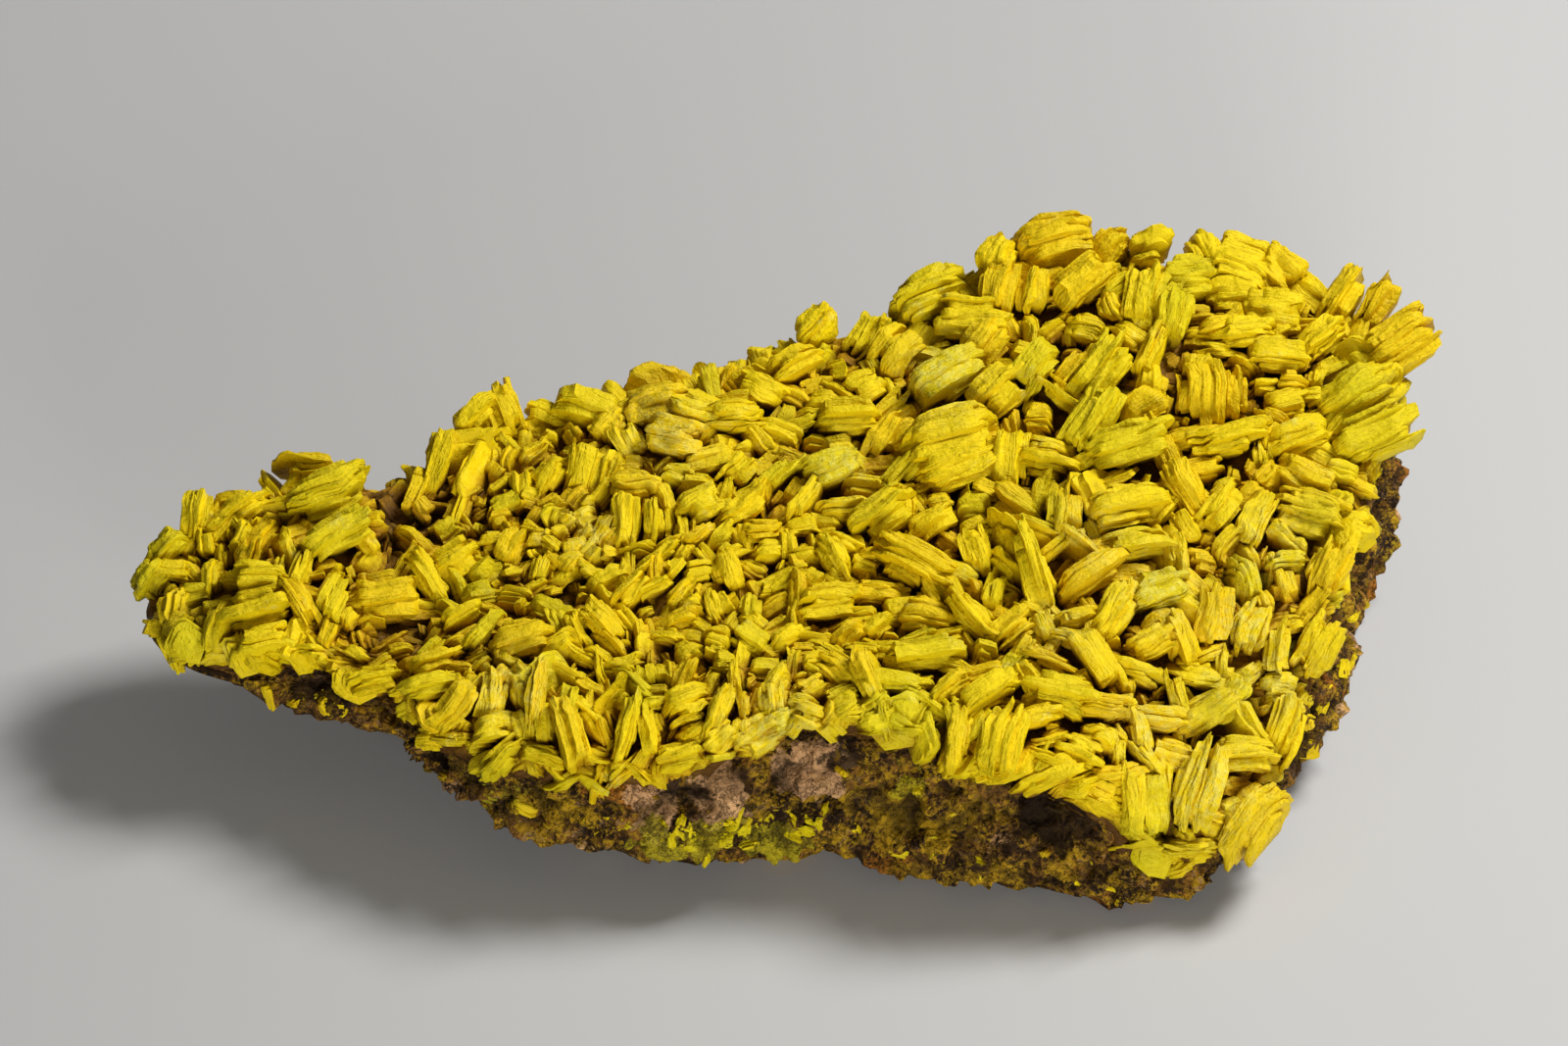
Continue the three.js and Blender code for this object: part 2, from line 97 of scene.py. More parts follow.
# Books picked out one by one: pixel of the middle of the fore-edge, length, stack, angle of the edges.
PICKED_BOOKS = np.array([
    [205, 527, 4.8, 2, 85], [250, 519, 4.6, 1.8, 40], [258, 568, 3.6, 1.6, 80], [337, 505, 6.2, 4, 28],
    [345, 545, 5.2, 2.6, 35], [317, 476, 4.2, 1.6, -8], [266, 619, 5.4, 2.8, 15], [158, 588, 3.4, 2.4, 60],
    [172, 560, 4, 2, 45], [312, 612, 4.6, 1.8, -60], [345, 610, 3.9, 1.8, 70], [388, 690, 3.9, 1.8, 10],
    [449, 474, 6.2, 1.5, 78], [429, 493, 3.9, 1.4, 75], [401, 507, 3.6, 2, -60], [401, 609, 4.4, 3.2, 10],
    [467, 573, 4, 2.8, 38], [441, 590, 5, 1.7, -60], [522, 418, 4.4, 1.6, -70], [505, 432, 3.2, 1.5, -65],
    [484, 428, 4.4, 2, 50], [596, 418, 6, 2.3, -25], [668, 413, 5, 2.9, 10], [749, 428, 5, 2.3, 8],
    [690, 446, 5.6, 3, -15], [599, 480, 3.3, 2.8, 80], [561, 487, 3.2, 2, 60], [640, 530, 4.2, 2.2, 88],
    [667, 533, 3.6, 1.3, 90], [716, 515, 4.2, 2.4, 35], [762, 513, 4.4, 2.2, 45], [619, 548, 2.8, 2.1, 60],
    [525, 556, 3, 2, 65], [724, 469, 3.4, 1.8, 20], [645, 602, 4.2, 1.6, 50], [617, 633, 4.2, 1.6, -50],
    [742, 582, 3.8, 2, -75], [767, 653, 3.2, 2.2, -40], [535, 650, 4.8, 2.4, 15], [443, 673, 3.8, 1.6, 30],
    [443, 697, 4.4, 1.6, 8], [469, 718, 4.2, 2.2, 50], [507, 709, 3.6, 2.2, 80], [502, 742, 3.8, 1.9, 10],
    [520, 766, 4.4, 1.8, 45], [550, 706, 5.2, 1.5, 85], [586, 745, 5.6, 1.9, -75], [642, 742, 5.6, 1.3, 80],
    [663, 742, 4, 1.3, -80], [696, 767, 4, 2.1, 20], [701, 716, 4, 3, 30], [734, 722, 4.6, 1.3, 70],
    [772, 747, 4.2, 2.6, 35], [899, 526, 5.2, 2.9, 40], [933, 574, 5.8, 3.3, -35], [948, 534, 3.2, 1.7, 35],
    [852, 572, 4.2, 1.9, -65], [994, 564, 3.4, 2, -75], [1053, 585, 7, 2.1, -76], [1083, 526, 5, 2.3, 85],
    [1035, 516, 4, 2, -45], [1106, 587, 5.4, 2.3, 40], [1144, 518, 5.2, 2.6, 15], [1157, 554, 5, 2.4, 10],
    [1116, 669, 5.4, 2.2, -60], [1132, 625, 4.6, 2.5, 60], [1178, 602, 4.8, 2.9, 25], [1172, 655, 4, 2.2, 35],
    [989, 625, 5, 2, -50], [1030, 641, 3.6, 2.2, 40], [945, 628, 4.2, 2.3, -10], [846, 613, 4.6, 2.5, 8],
    [943, 664, 5.2, 2.4, 10], [1004, 704, 5.2, 1.9, 35], [976, 750, 4.8, 1.5, 85], [1019, 750, 5.2, 3.4, 75],
    [1055, 727, 3.6, 1.4, 15], [1080, 708, 5.6, 2.6, -15], [1096, 763, 4, 2.2, -20],
    [1068, 785, 5.4, 1.8, 25],
    [1147, 812, 5.8, 1.9, 88], [1172, 815, 6.2, 1.9, -85], [1216, 800, 6.6, 3.4, 75], [1267, 832, 6.2, 4, 55],
    [1213, 862, 3.6, 1.6, 5], [1226, 722, 5.4, 2.3, 35], [1262, 766, 5, 2.4, 2], [1234, 628, 4.4, 2.5, 80],
    [1200, 651, 4.4, 2, -70], [1269, 640, 4.4, 2.5, 70], [1297, 662, 5, 1.7, 85], [1340, 655, 4.6, 3, 60],
    [1305, 740, 4.8, 2.6, 70], [1175, 243, 2.8, 2.2, 20], [1230, 248, 3.2, 2, -70],
    [1267, 253, 3.8, 3.4, -20],
    [1164, 308, 4.2, 2.6, 80], [1194, 324, 4, 2.4, 75], [1214, 284, 3.8, 3, 15], [1256, 297, 3.4, 3.4, 5],
    [1299, 319, 3.8, 3.4, -6], [1306, 276, 3.4, 3, -50], [1341, 299, 3, 2, -40], [1372, 301, 4.6, 2.1, 60],
    [1409, 308, 3.6, 1.9, 60], [1430, 349, 4.6, 3.6, 38], [1345, 347, 3.8, 1.9, 45], [1270, 342, 4.2, 1.7, 8],
    [1300, 364, 4, 1.9, 0], [1235, 402, 4, 4.8, 92], [1311, 411, 3, 1.8, 20], [1380, 400, 5.6, 3, 35],
    [1395, 445, 5.6, 3, 30], [1251, 448, 5.8, 1.9, 15], [1320, 448, 4.2, 2.2, 25], [1205, 496, 4.4, 2.2, -65],
    [1240, 521, 3.8, 1.9, 55], [1276, 531, 4.2, 1.9, 65], [1329, 487, 3.8, 2.3, -30],
    [1334, 525, 4.6, 3, -20],
    [1350, 580, 4.4, 2.8, 65], [1015, 247, 3, 2.4, 75], [1078, 247, 5.6, 3.4, 15], [1131, 250, 2.6, 2.2, 50],
    [1020, 294, 3.8, 2.5, 80], [1053, 298, 3.4, 2.2, 80], [1102, 289, 4.6, 2.5, 45], [888, 340, 3.8, 2.6, 68],
    [915, 358, 3.8, 3.2, 55], [950, 302, 5, 3, 30], [993, 325, 4.4, 2.6, -5], [832, 325, 3.4, 2.4, 60],
    [1002, 352, 3.6, 2.8, 60], [962, 385, 5.6, 2.9, 35], [1022, 399, 4, 3, 40], [1055, 374, 4.4, 2, 55],
    [1122, 378, 5, 2.8, 55], [1116, 425, 5.4, 2.5, 60], [1165, 414, 3.2, 2.4, 40], [968, 461, 6.2, 5.4, 20],
    [1026, 470, 3.6, 2.6, 87], [1066, 468, 3.6, 2.8, -15], [1149, 454, 5.6, 2.5, 20], [866, 425, 4.6, 2.7, 2],
    [883, 394, 3.2, 2.4, 30], [810, 372, 4.2, 2.2, 35], [780, 400, 4, 2, -30], [845, 480, 4.8, 2.4, 25],
])

# Tablets that turn a flat face to the viewer: pixel, length, depth and angle.
FACE_TABLETS = np.array([
    [915, 722, 4.2, 2.8, 5], [202, 645, 2.8, 2.0, -30], [1160, 862, 2.8, 2.2, 60], [355, 695, 2.6, 2.6, 80],
])

# Patches on the rock's front: pixel of the middle, half width, half height, kind and strength.
ROCK_PATCHES = [
    (735, 798, 74, 40, "quartz", 1.0), (820, 786, 54, 36, "quartz", 1.0), (1020, 855, 20, 12, "quartz", 0.5),
    (700, 800, 22, 16, "dark", 1.0), (768, 815, 18, 10, "dark", 0.9), (1085, 832, 55, 32, "dark", 1.0),
    (860, 770, 20, 16, "dark", 0.7), (480, 800, 35, 22, "dark", 0.6), (330, 700, 60, 16, "dark", 0.6),
    (940, 825, 75, 36, "ochre", 1.0), (1000, 885, 80, 22, "ochre", 0.6), (560, 815, 50, 22, "ochre", 0.7),
    (750, 850, 95, 20, "seam", 1.0), (925, 800, 28, 16, "seam", 0.7), (540, 800, 45, 14, "seam", 0.5),
    (620, 800, 50, 14, "rust", 1.0), (1380, 700, 25, 60, "rust", 0.8), (900, 870, 60, 14, "rust", 0.6),
]
PATCH_KINDS = ("quartz", "dark", "ochre", "seam", "rust")
SCATTER = {"quartz": 0.8, "dark": 1.0, "ochre": 1.0, "seam": 0.5, "rust": 0.8}

# Lines of small tablets on the rock's front: two end pixels, number, spread in pixels, size, and a shift of
# how far they count clear of the bed, which sets their painted shade.
CRUMB_LINES = [
    (655, 850, 835, 832, 90, 6, 0.45, -0.6), (690, 862, 790, 856, 36, 5, 0.45, -0.5),
    (455, 790, 560, 815, 30, 13, 0.65, -0.8), (880, 770, 960, 830, 26, 20, 0.5, -0.9),
    (900, 850, 1010, 885, 16, 14, 0.45, -0.9), (1330, 700, 1345, 765, 12, 9, 1.1, -0.1),
    (1375, 560, 1395, 680, 14, 12, 1.0, -0.4), (250, 690, 400, 735, 24, 9, 0.8, -0.6),
    (560, 800, 680, 805, 18, 9, 0.6, -0.8), (1020, 880, 1150, 905, 12, 12, 0.45, -0.9),
    (600, 840, 660, 860, 14, 9, 0.5, -0.7),
]

# Spots on the crust: pixel of the middle and radius. Dusty pale ones, green ones, and hollows with a sink.
PALE_SPOTS = [
    (680, 444, 40), (525, 700, 34), (790, 735, 45), (960, 385, 36), (1170, 735, 40), (1180, 600, 40),
    (1265, 640, 36), (1230, 800, 50), (1290, 560, 36), (860, 480, 28), (1075, 640, 26), (1290, 690, 40),
    (1110, 545, 30), (600, 540, 26),
]
GREEN_SPOTS = [
    (915, 722, 50), (202, 647, 40), (1160, 865, 45), (148, 590, 30), (1340, 525, 30), (1385, 395, 34),
    (1235, 720, 30), (1065, 520, 30), (660, 700, 24), (1200, 300, 26), (670, 850, 30), (710, 857, 30),
    (750, 852, 30), (790, 843, 30), (830, 830, 26), (925, 800, 30), (1010, 870, 40), (940, 860, 40),
    (500, 800, 50),
]
HOLLOWS = [
    (400, 500, 30, 2.2), (412, 545, 26, 1.6), (415, 640, 30, 1.4), (868, 350, 20, 1.6), (470, 520, 26, 1.0),
    (1150, 350, 18, 1.2), (985, 430, 16, 1.0), (1010, 520, 16, 0.8), (1190, 400, 14, 1.0),
]

# Arches of the crust's front edge: x of the middle, rise and width.
RIM_ARCHES = [(5, 1.9, 9), (21.5, 1.8, 4), (-36, 1.6, 5)]

# Odd multipliers that mix whole coordinates and a seed into random bits, and the seeds of the noises.
MIX_X, MIX_Y, MIX_Z, MIX_LAST = (np.uint32(n) for n in (374761393, 668265263, 2246822519, 3266489917))
MIX_SEED = (3266489, 97)
SEEDS = {
    "slow": 5, "facet": 3, "grain": 21, "grit": 37, "pits": 77, "ragged": 71, "scatter": 90,
    "scatter_step": 10, "crumb": 51, "bed": 61, "wrinkle": 9, "crumble": 5,
}

# From a pixel to the bed: steps, how far each goes, how near the rim it ends, and the most it rises.
RAY = {"steps": 40, "pace": 0.5, "rim": 0.97, "reach": 2.6}

# A tablet's depth against its length, with limits, and how far it goes on into the bed.
DEPTH = {"share": 0.85, "least": 2.6, "most": 5.2, "root": 1.4}

# How picked books stand: lift against depth, how far their edges are laid into the crust, lean from upright
# to the viewer and how much less of it at the back rim, stack, and growth at the picture's upper right.
PICKED = {
    "lift": 0.3, "flatten": 0.35, "lean": 0.62, "less_lean": 0.12, "near_rim": (0.7, 0.95),
    "at_back": (0, 0.6), "stack": 0.85, "growth": 0.16, "grow_x": (780, 950), "grow_y": (500, 640),
}

# Lift over the bed and stack of the tablets that turn a flat face to the viewer.
FACE_LIFT = 0.8
FACE_STACK = 1.1

# How books thrown between the picked ones stand: reach to the rim, stack, spread of turns in degrees, how far
# their edges are laid down, upright and viewer's shares of their direction, tilt, lean at the rim, and lift.
FILLING = {
    "reach": 0.985, "stack": 0.8, "turns": 48, "flatten": 0.6, "upright": 0.6, "viewer": 0.4, "tilt": 0.25,
    "lean": 0.9, "lean_at": (0.8, 1), "lift": 0.3, "uneven": 0.35,
}

# The throws: tries, seed, sizes against the like picked book, and sink. The later ones begin with a spacing.
FIRST_THROW = (9000, 11, (0.55, 0.98), 0.45)
LATER_THROWS = [(0.8, 9000, 12, (0.34, 0.55), 1.1), (0.7, 3000, 15, (0.26, 0.4), 1.0)]

# The row of books along the rim, what changes at the back, and how far they turn edge-on to the viewer.
RIM_ROW = {
    "count": 200, "seed": 13, "stray": 0.3, "reach": (0.95, 1.0), "length": (0.45, 0.8), "stack": (0.4, 0.7),
    "lift": (0.2, 1.8), "behind": (0.1, 0.5), "longer": 0.3, "thicker": 0.4, "higher": 0.6,
    "upright": 0.55, "outward": 0.75, "tilt": 0.22, "edge_on": 1.6,
}

# The form of a book, in shares of its own size: the number and thickness of its tablets, their outline, the
# barrel of the stack, short, chipped, turned and strayed tablets, and the grooves and clefts in millimetres.
BOOK = {
    "margin": 0.15, "hidden": 2, "thicker": 0.5, "thicker_at": (1.2, 2.6), "thickness": (0.7, 1.2),
    "tablets": (3, 10), "square": (2.2, 5.0), "square_spread": (-0.2, 0.4), "uneven": 0.45,
    "round": 6.3, "sway": 0.5,
    "barrel": (0.22, 0.5), "barrel_power": (1.6, 2.8), "barrel_length": 0.7,
    "short": 0.4, "short_share": 0.36, "short_height": 0.25, "length": 0.075, "height": 0.035,
    "chip": 0.07, "chip_share": 0.06, "jag": 0.013, "turn": 0.04,
    "stray": 0.038, "end_stray": 0.06, "end_power": 4, "sag": 0.7,
    "groove": (0.02, 0.09), "open": 0.05, "cleft": 0.35, "cleft_share": 0.11, "first_groove": 0.1,
}

# Waves round an outline as number and amount, and a tablet's edge rings as place across it and inset.
WAVES = ((2, 0.04), (3, 0.05), (4, 0.04), (5, 0.03), (7, 0.015))
TABLET_EDGE = ((0.24, 0.03), (0.74, 0.03))

# A stack's end: the shares of its outline at the rim and at the foot and top of one smaller tablet on it.
CAP = {"rim": 0.97, "foot": 0.72, "top": 0.66, "off": 0.07, "most_off": 1.5, "rise": (0.04, 0.26)}

# How a book is bent: wrinkles along the edges, fan, taper, bend, seat, and slow and fine noise with its size.
BENDING = {
    "wrinkle_long": 1.1, "wrinkle_across": 0.3, "wrinkle_x": 0.06, "wrinkle_y": 0.07,
    "fan": (0.0, 0.35), "taper": (-0.1, 0.3), "taper_to": 1.1, "bend": 0.07, "seat": 0.46,
    "swirl": 0.2, "swirl_size": 1.3, "crumble": 0.1, "crumble_size": 0.55,
}

# What keeps a book's wrinkles and streaks apart from the next one's.
BOOK_SHIFT = {"noise": 7.7, "along": 17.0, "across": 5.3}

# How far clear of the bed the painted shade begins to lift and where it is gone, and where a point counts as
# over the bed or past the rim.
UNSHADED_FROM, UNSHADED_TO = -0.2, 2.6
CLEAR = {"over": 1.5, "rim": 0.97, "past": 0.6}

# Pieces of the crust: name, lengths of its books, place along x, and points round a tablet's seen half.
BOOK_PIECES = [
    ("crystal_books_left", 2.9, 12, -60, -15, 20), ("crystal_books_middle", 2.9, 12, -15, 10, 20),
    ("crystal_books_right", 2.9, 12, 10, 26, 20), ("crystal_books_far_right", 2.9, 12, 26, 60, 20),
    ("small_books_left", 1.3, 2.9, -60, -2, 8), ("small_books_right", 1.3, 2.9, -2, 60, 8),
    ("crystal_crumbs", 0, 1.3, -60, 60, 6),
]
PIECE_SEED = 100
SHARP_DEGREES = 52

# The rock's grid, and its relief: sizes and strengths of facets, grains, grit and pits, limits and fading.
ROCK_GRID = {"columns": 900, "under": 22, "wall": 54, "middle": 0.03, "face": (0.985, 0.9, 0.6, 0.3, 0.03)}
RELIEF = {
    "facet_size": 5.5, "grain_size": 1.8, "grit_size": 0.75, "pit_size": 3.2, "pits": (0.15, 0.5),
    "slow": 0.9, "slow_size": 9, "grain": 1.2, "slope": 0.5, "grit": 0.5,
    "seam": 1.2, "lump": 0.9, "hollow": 0.8, "deepest": -1.9, "highest": 1.4,
    "top_band": 1.6, "top_fade": 0.75, "foot_band": 2.5, "foot_fade": 0.55,
    "flat": (0.75, 0.95), "under": 0.5,
}

# The ragged edges of the rock's patches, the scattered patches, and from where a face is in full view.
PATCH_EDGE = {"ragged": 1.3, "size": 1.9, "share": 0.6, "inner": 0.4, "outer": 1.15}
SCATTER_FORM = {"size": 5, "from": 0.2, "to": 0.55, "hidden": 0.8, "seen": 0.25}
FACING_TO = 0.3

# Small tablets on the rock: how near a spot rock is looked for, tilt, sizes, and shares of their length.
CRUMB = {
    "seed": 14, "facing": 0.15, "near": 7, "tilt": 0.25, "sizes": (0.6, 1.5),
    "sink": 0.22, "stack": 0.6, "depth": 0.8,
}

# The bed: rows of share of the rim, lift and lap from under the rim over the lip, then rows in over the face.
BED_LIP = [
    (0.5, -0.6, 0.0), (0.93, -0.5, 0.0), (0.98, -0.4, 0.0), (0.985, 0.0, 0.1), (0.985, 0.3, 0.2),
    (0.98, 0.7, 0.2), (0.975, 1.0, 0.1), (0.965, 1.2, 0.0),
]
BED = {
    "columns": 440, "rows": 52, "from": 0.95, "to": 0.02, "lift": 1.5,
    "draw_back": 1.1, "draw_at": (0.8, 0.95),
    "slow": 0.35, "slow_size": 4, "crumb": 0.7, "crumb_size": 1.3, "slope": 0.5,
}

# The bed's point values, with its painted shade near the root colour and lifting a little with height, and
# the shine of both materials.
BED_LOOK = {"root": 0.02, "unshaded": 0.16, "unshaded_at": 2, "tone": 0.4, "leaf": 0.5, "dust": 0.25}
CRYSTAL_SPECULAR = 0.16
ROCK_SPECULAR = 0.15

# The stage in metres: the lights' places and sizes, their aim, the floor, the soft room and the camera.
KEY_LIGHT = ((0.24, 0.12, 0.36), 0.14)
FILL_LIGHT = ((0.1, -0.44, 0.11), 0.16)
LIGHT_AIM = (0, 0, 0.01)
FLOOR_HALF = 3.0
ROOM_COLOUR = (1.0, 0.98, 0.95, 1)
ROOM_STRENGTH = 0.12
SENSOR_WIDTH = 36
CLIP_RANGE = (0.05, 20)


def smoothstep(x, low, high):
    """A cubic step from 0 at low to 1 at high."""
    t = np.clip((x - low) / (high - low), 0, 1)
    return t * t * (3 - 2 * t)


def unit(vectors):
    """Vectors scaled to length 1."""
    return vectors / np.maximum(np.linalg.norm(vectors, axis=-1, keepdims=True), 1e-9)


def closed_curve(points, t):
    """A closed Catmull-Rom curve: cubic Hermite spans whose tangents are a share of the neighbours' chord."""
    count = len(points)
    place = np.mod(t, 1) * count
    first = np.floor(place).astype(int)
    w = (place - first)[..., None]
    p0, p1, p2, p3 = (points[(first + i) % count] for i in (-1, 0, 1, 2))
    m1 = CURVE_TENSION * (p2 - p0)
    m2 = CURVE_TENSION * (p3 - p1)
    return (2 * p1 - 2 * p2 + m1 + m2) * w**3 + (-3 * p1 + 3 * p2 - 2 * m1 - m2) * w**2 + m1 * w + p1


RIM_LINE = closed_curve(RIM, np.arange(RIM_SAMPLES) / RIM_SAMPLES)
RIM_ANGLES = np.arctan2(RIM_LINE[:, 1], RIM_LINE[:, 0])
RIM_RADII = np.hypot(RIM_LINE[:, 0], RIM_LINE[:, 1])
RIM_ORDER = np.argsort(RIM_ANGLES)


def rim_fraction(x, y):
    """Where a point lies between the origin, 0, and the rim, 1."""
    angle = np.arctan2(y, x)
    radius = np.interp(angle, RIM_ANGLES[RIM_ORDER], RIM_RADII[RIM_ORDER], period=2 * math.pi)
    return np.hypot(x, y) / radius


def face_height(x, y):
    """The rock's upper face: a sloping plane plus bell-shaped swells, less a drop near the rim."""
    z = FACE["height"] + FACE["rise_x"] * x + FACE["rise_y"] * y
    for sx, sy, rise, radius in SWELLS:
        z = z + rise * np.exp(-((x - sx) ** 2 + (y - sy) ** 2) / radius**2)
    return z - FACE["rim_drop"] * smoothstep(rim_fraction(x, y), FACE["drop_from"], FACE["drop_to"])


def face_normal(x, y):
    """The upper face's normal, from its slopes over a short step."""
    slope_x = (face_height(x + NORMAL_STEP, y) - face_height(x - NORMAL_STEP, y)) / (2 * NORMAL_STEP)
    slope_y = (face_height(x, y + NORMAL_STEP) - face_height(x, y - NORMAL_STEP)) / (2 * NORMAL_STEP)
    return unit(np.stack([-slope_x, -slope_y, np.ones_like(slope_x)], -1))


def underside(x):
    """Height of the rock's underside, which lifts towards the thin left end."""
    return UNDERSIDE_LIFT["height"] * smoothstep(-x, -UNDERSIDE_LIFT["from"], -UNDERSIDE_LIFT["to"])


def lattice(ix, iy, iz, seed):
    """A repeatable random number from 0 to 1 for each lattice point, by mixing its whole coordinates."""
    h = ix.astype(np.uint32) * MIX_X + iy.astype(np.uint32) * MIX_Y + iz.astype(np.uint32) * MIX_Z
    h = h + np.uint32(seed * MIX_SEED[0] + MIX_SEED[1])
    h = (h ^ (h >> np.uint32(15))) * MIX_Z
    h = (h ^ (h >> np.uint32(13))) * MIX_LAST
    return ((h ^ (h >> np.uint32(16))) & np.uint32(0xFFFFFF)).astype(float) / 0xFFFFFF


def noise(points, size, seed):
    """Smooth random values from -1 to 1: lattice values blended by cubic steps between points size apart."""
    q = points / size
    base = np.floor(q)
    f = q - base
    f = f * f * (3 - 2 * f)
    base = base.astype(np.int64)
    total = 0
    for dx in (0, 1):
        for dy in (0, 1):
            for dz in (0, 1):
                value = lattice(base[..., 0] + dx, base[..., 1] + dy, base[..., 2] + dz, seed)
                weight = np.where(dx, f[..., 0], 1 - f[..., 0]) * np.where(dy, f[..., 1], 1 - f[..., 1])
                total = total + value * weight * np.where(dz, f[..., 2], 1 - f[..., 2])
    return 2 * total - 1


def fractal(points, size, octaves, seed):
    """Noise added up over octaves, each half as large and half as strong as the last."""
    return sum(noise(points, size / 2**i, seed + i) / 2**i for i in range(octaves))


def grains(points, size, seed):
    """Broken grains: the distance to the nearest scattered point, and a height sloping across its cell."""
    q = points / size
    base = np.floor(q).astype(np.int64)
    nearest = np.full(q.shape[:-1], 9.0)
    slope = np.zeros(q.shape[:-1])
    for offset in np.ndindex(3, 3, 3):
        cell = base + np.array(offset) - 1
        spots = [lattice(cell[..., 0], cell[..., 1], cell[..., 2], seed + k) for k in range(6)]
        away = q - cell - np.stack(spots[:3], -1)
        distance = np.linalg.norm(away, axis=-1)
        closer = distance < nearest
        tilt = 2 * np.stack(spots[3:], -1) - 1
        slope = np.where(closer, (away * tilt).sum(-1) + 0.5 * (spots[3] - 0.5), slope)
        nearest = np.minimum(nearest, distance)
    return nearest, slope


def grid_normals(points):
    """Outward normals of a grid of rings, from the differences between neighbours."""
    around = np.roll(points, -1, 1) - np.roll(points, 1, 1)
    along = np.gradient(points, axis=0)
    return unit(np.cross(around, along))


def ring_faces(rings, columns):
    """Triangles of closed rings joined row by row, then those of the point at each end."""
    row, column = np.meshgrid(np.arange(rings - 1), np.arange(columns), indexing="ij")
    beside = (column + 1) % columns
    a = row * columns + column
    b = row * columns + beside
    c = (row + 1) * columns + beside
    d = (row + 1) * columns + column
    sides = np.stack([np.stack([a, b, c], -1), np.stack([a, c, d], -1)], -2).reshape(-1, 3)
    here = np.arange(columns)
    there = (here + 1) % columns
    start = rings * columns
    last = (rings - 1) * columns
    foot = np.stack([np.full(columns, start), there, here], -1)
    head = np.stack([np.full(columns, start + 1), last + here, last + there], -1)
    return np.concatenate([sides, foot, head])


def write_mesh(name, points, triangles, values, uv=None, sharp_degrees=None):
    """A new object from points in millimetres, triangles, named point values and an optional point UV map."""
    mesh = bpy.data.meshes.new(name)
    mesh.vertices.add(len(points))
    mesh.vertices.foreach_set("co", (points * MM).astype(np.float32).ravel())
    mesh.loops.add(triangles.size)
    mesh.loops.foreach_set("vertex_index", triangles.astype(np.int32).ravel())
    mesh.polygons.add(len(triangles))
    mesh.polygons.foreach_set("loop_start", np.arange(0, triangles.size, 3, dtype=np.int32))
    mesh.update(calc_edges=True)
    for key, value in values.items():
        layer = mesh.attributes.new(key, "FLOAT", "POINT")
        layer.data.foreach_set("value", value.astype(np.float32).ravel())
    if uv is not None:
        layer = mesh.uv_layers.new(name="leaf_uv")
        layer.data.foreach_set("uv", uv[triangles.ravel()].astype(np.float32).ravel())
    mesh.polygons.foreach_set("use_smooth", np.ones(len(triangles), dtype=bool))
    if sharp_degrees is not None:
        mesh.set_sharp_from_angle(angle=math.radians(sharp_degrees))
    if mesh.validate():
        raise RuntimeError(f"{name} has faces that don't belong to a clean mesh")
    piece = bpy.data.objects.new(name, mesh)
    bpy.context.scene.collection.objects.link(piece)
    return piece


def seat(piece, node, material):
    """Finishes a piece: its material, the body it rides on, and the node it stands for, whose imported part
    is hidden.
    """
    piece.data.materials.append(material)
    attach(piece, "root")
    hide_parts(node)


def pixels(points):
    """Where points show in the picture."""
    px = ORIGIN_PIXEL[0] + PIXELS_PER_MM * points[..., 0]
    return px, ORIGIN_PIXEL[1] - PIXELS_PER_MM * (points @ UP)


def pixel_point(px, py, lift):
    """The point of the bed, raised by lift, that a pixel shows; past the rim the ray's point over the rim."""
    x = (px - ORIGIN_PIXEL[0]) / PIXELS_PER_MM
    v = (ORIGIN_PIXEL[1] - py) / PIXELS_PER_MM
    y = np.zeros_like(x)
    for _ in range(RAY["steps"]):
        z = face_height(x, y) + BED_THICKNESS + lift
        y = y + RAY["pace"] * ((v - z * UP[2]) / UP[1] - y)
    y = y * np.minimum(1, RAY["rim"] / np.maximum(rim_fraction(x, y), 1e-6))
    highest = face_height(x, y) + BED_THICKNESS + RAY["reach"]
    return np.stack([x, y, np.minimum((v - y * UP[1]) / UP[2], highest)], -1)


def like_picks(spots):
    """Which picked book is the nearest, seen from above, to each spot."""
    picks = pixel_point(PICKED_BOOKS[:, 0], PICKED_BOOKS[:, 1], np.zeros(len(PICKED_BOOKS)))
    return np.argmin(((spots[:, None, :2] - picks[None, :, :2]) ** 2).sum(-1), 1)


def book_depth(length):
    """How deep a tablet reaches into the crust, against its length."""
    return np.clip(DEPTH["share"] * length, DEPTH["least"], DEPTH["most"])


def edge_direction(angle, normal, flatten):
    """The direction of a book's edges: its angle in the picture plane, laid part of the way down."""
    turn = np.radians(angle)[:, None]
    along = np.cos(turn) * RIGHT + np.sin(turn) * UP
    along = along - flatten * (along * normal).sum(-1, keepdims=True) * normal
    return unit(along)


def upright(out, along):
    """The part of a direction that is square to the book's edges."""
    return unit(out - (out * along).sum(-1, keepdims=True) * along)


def picked_books(growth):
    """The books picked one by one, with their tablets turned from upright towards the viewer."""
    px, py, length, stack, angle = PICKED_BOOKS.T
    upper_right = smoothstep(px, *PICKED["grow_x"]) * (1 - smoothstep(py, *PICKED["grow_y"]))
    growth = growth * (1 + PICKED["growth"] * upper_right)
    length = growth * length
    depth = book_depth(length)
    centre = pixel_point(px, py, PICKED["lift"] * depth)
    normal = face_normal(centre[:, 0], centre[:, 1])
    along = edge_direction(angle, normal, PICKED["flatten"])
    outward = unit(centre * np.array([1, 1, 0]))
    near_rim = smoothstep(rim_fraction(centre[:, 0], centre[:, 1]), *PICKED["near_rim"])
    behind = near_rim * smoothstep(outward[:, 1], *PICKED["at_back"])
    lean = (PICKED["lean"] - PICKED["less_lean"] * behind)[:, None]
    out = upright((1 - lean) * normal + lean * BACK, along)
    return book_group(centre, along, out, length, PICKED["stack"] * growth * stack, depth)


def face_tablets():
    """Tablets that lie with their flat face to the viewer."""
    px, py, length, depth, angle = FACE_TABLETS.T
    centre = pixel_point(px, py, FACE_LIFT)
    turn = np.radians(angle)[:, None]
    along = np.cos(turn) * RIGHT + np.sin(turn) * UP
    out = np.cross(BACK, along)
    return book_group(centre, along, out, length, np.full(len(px), FACE_STACK), depth)


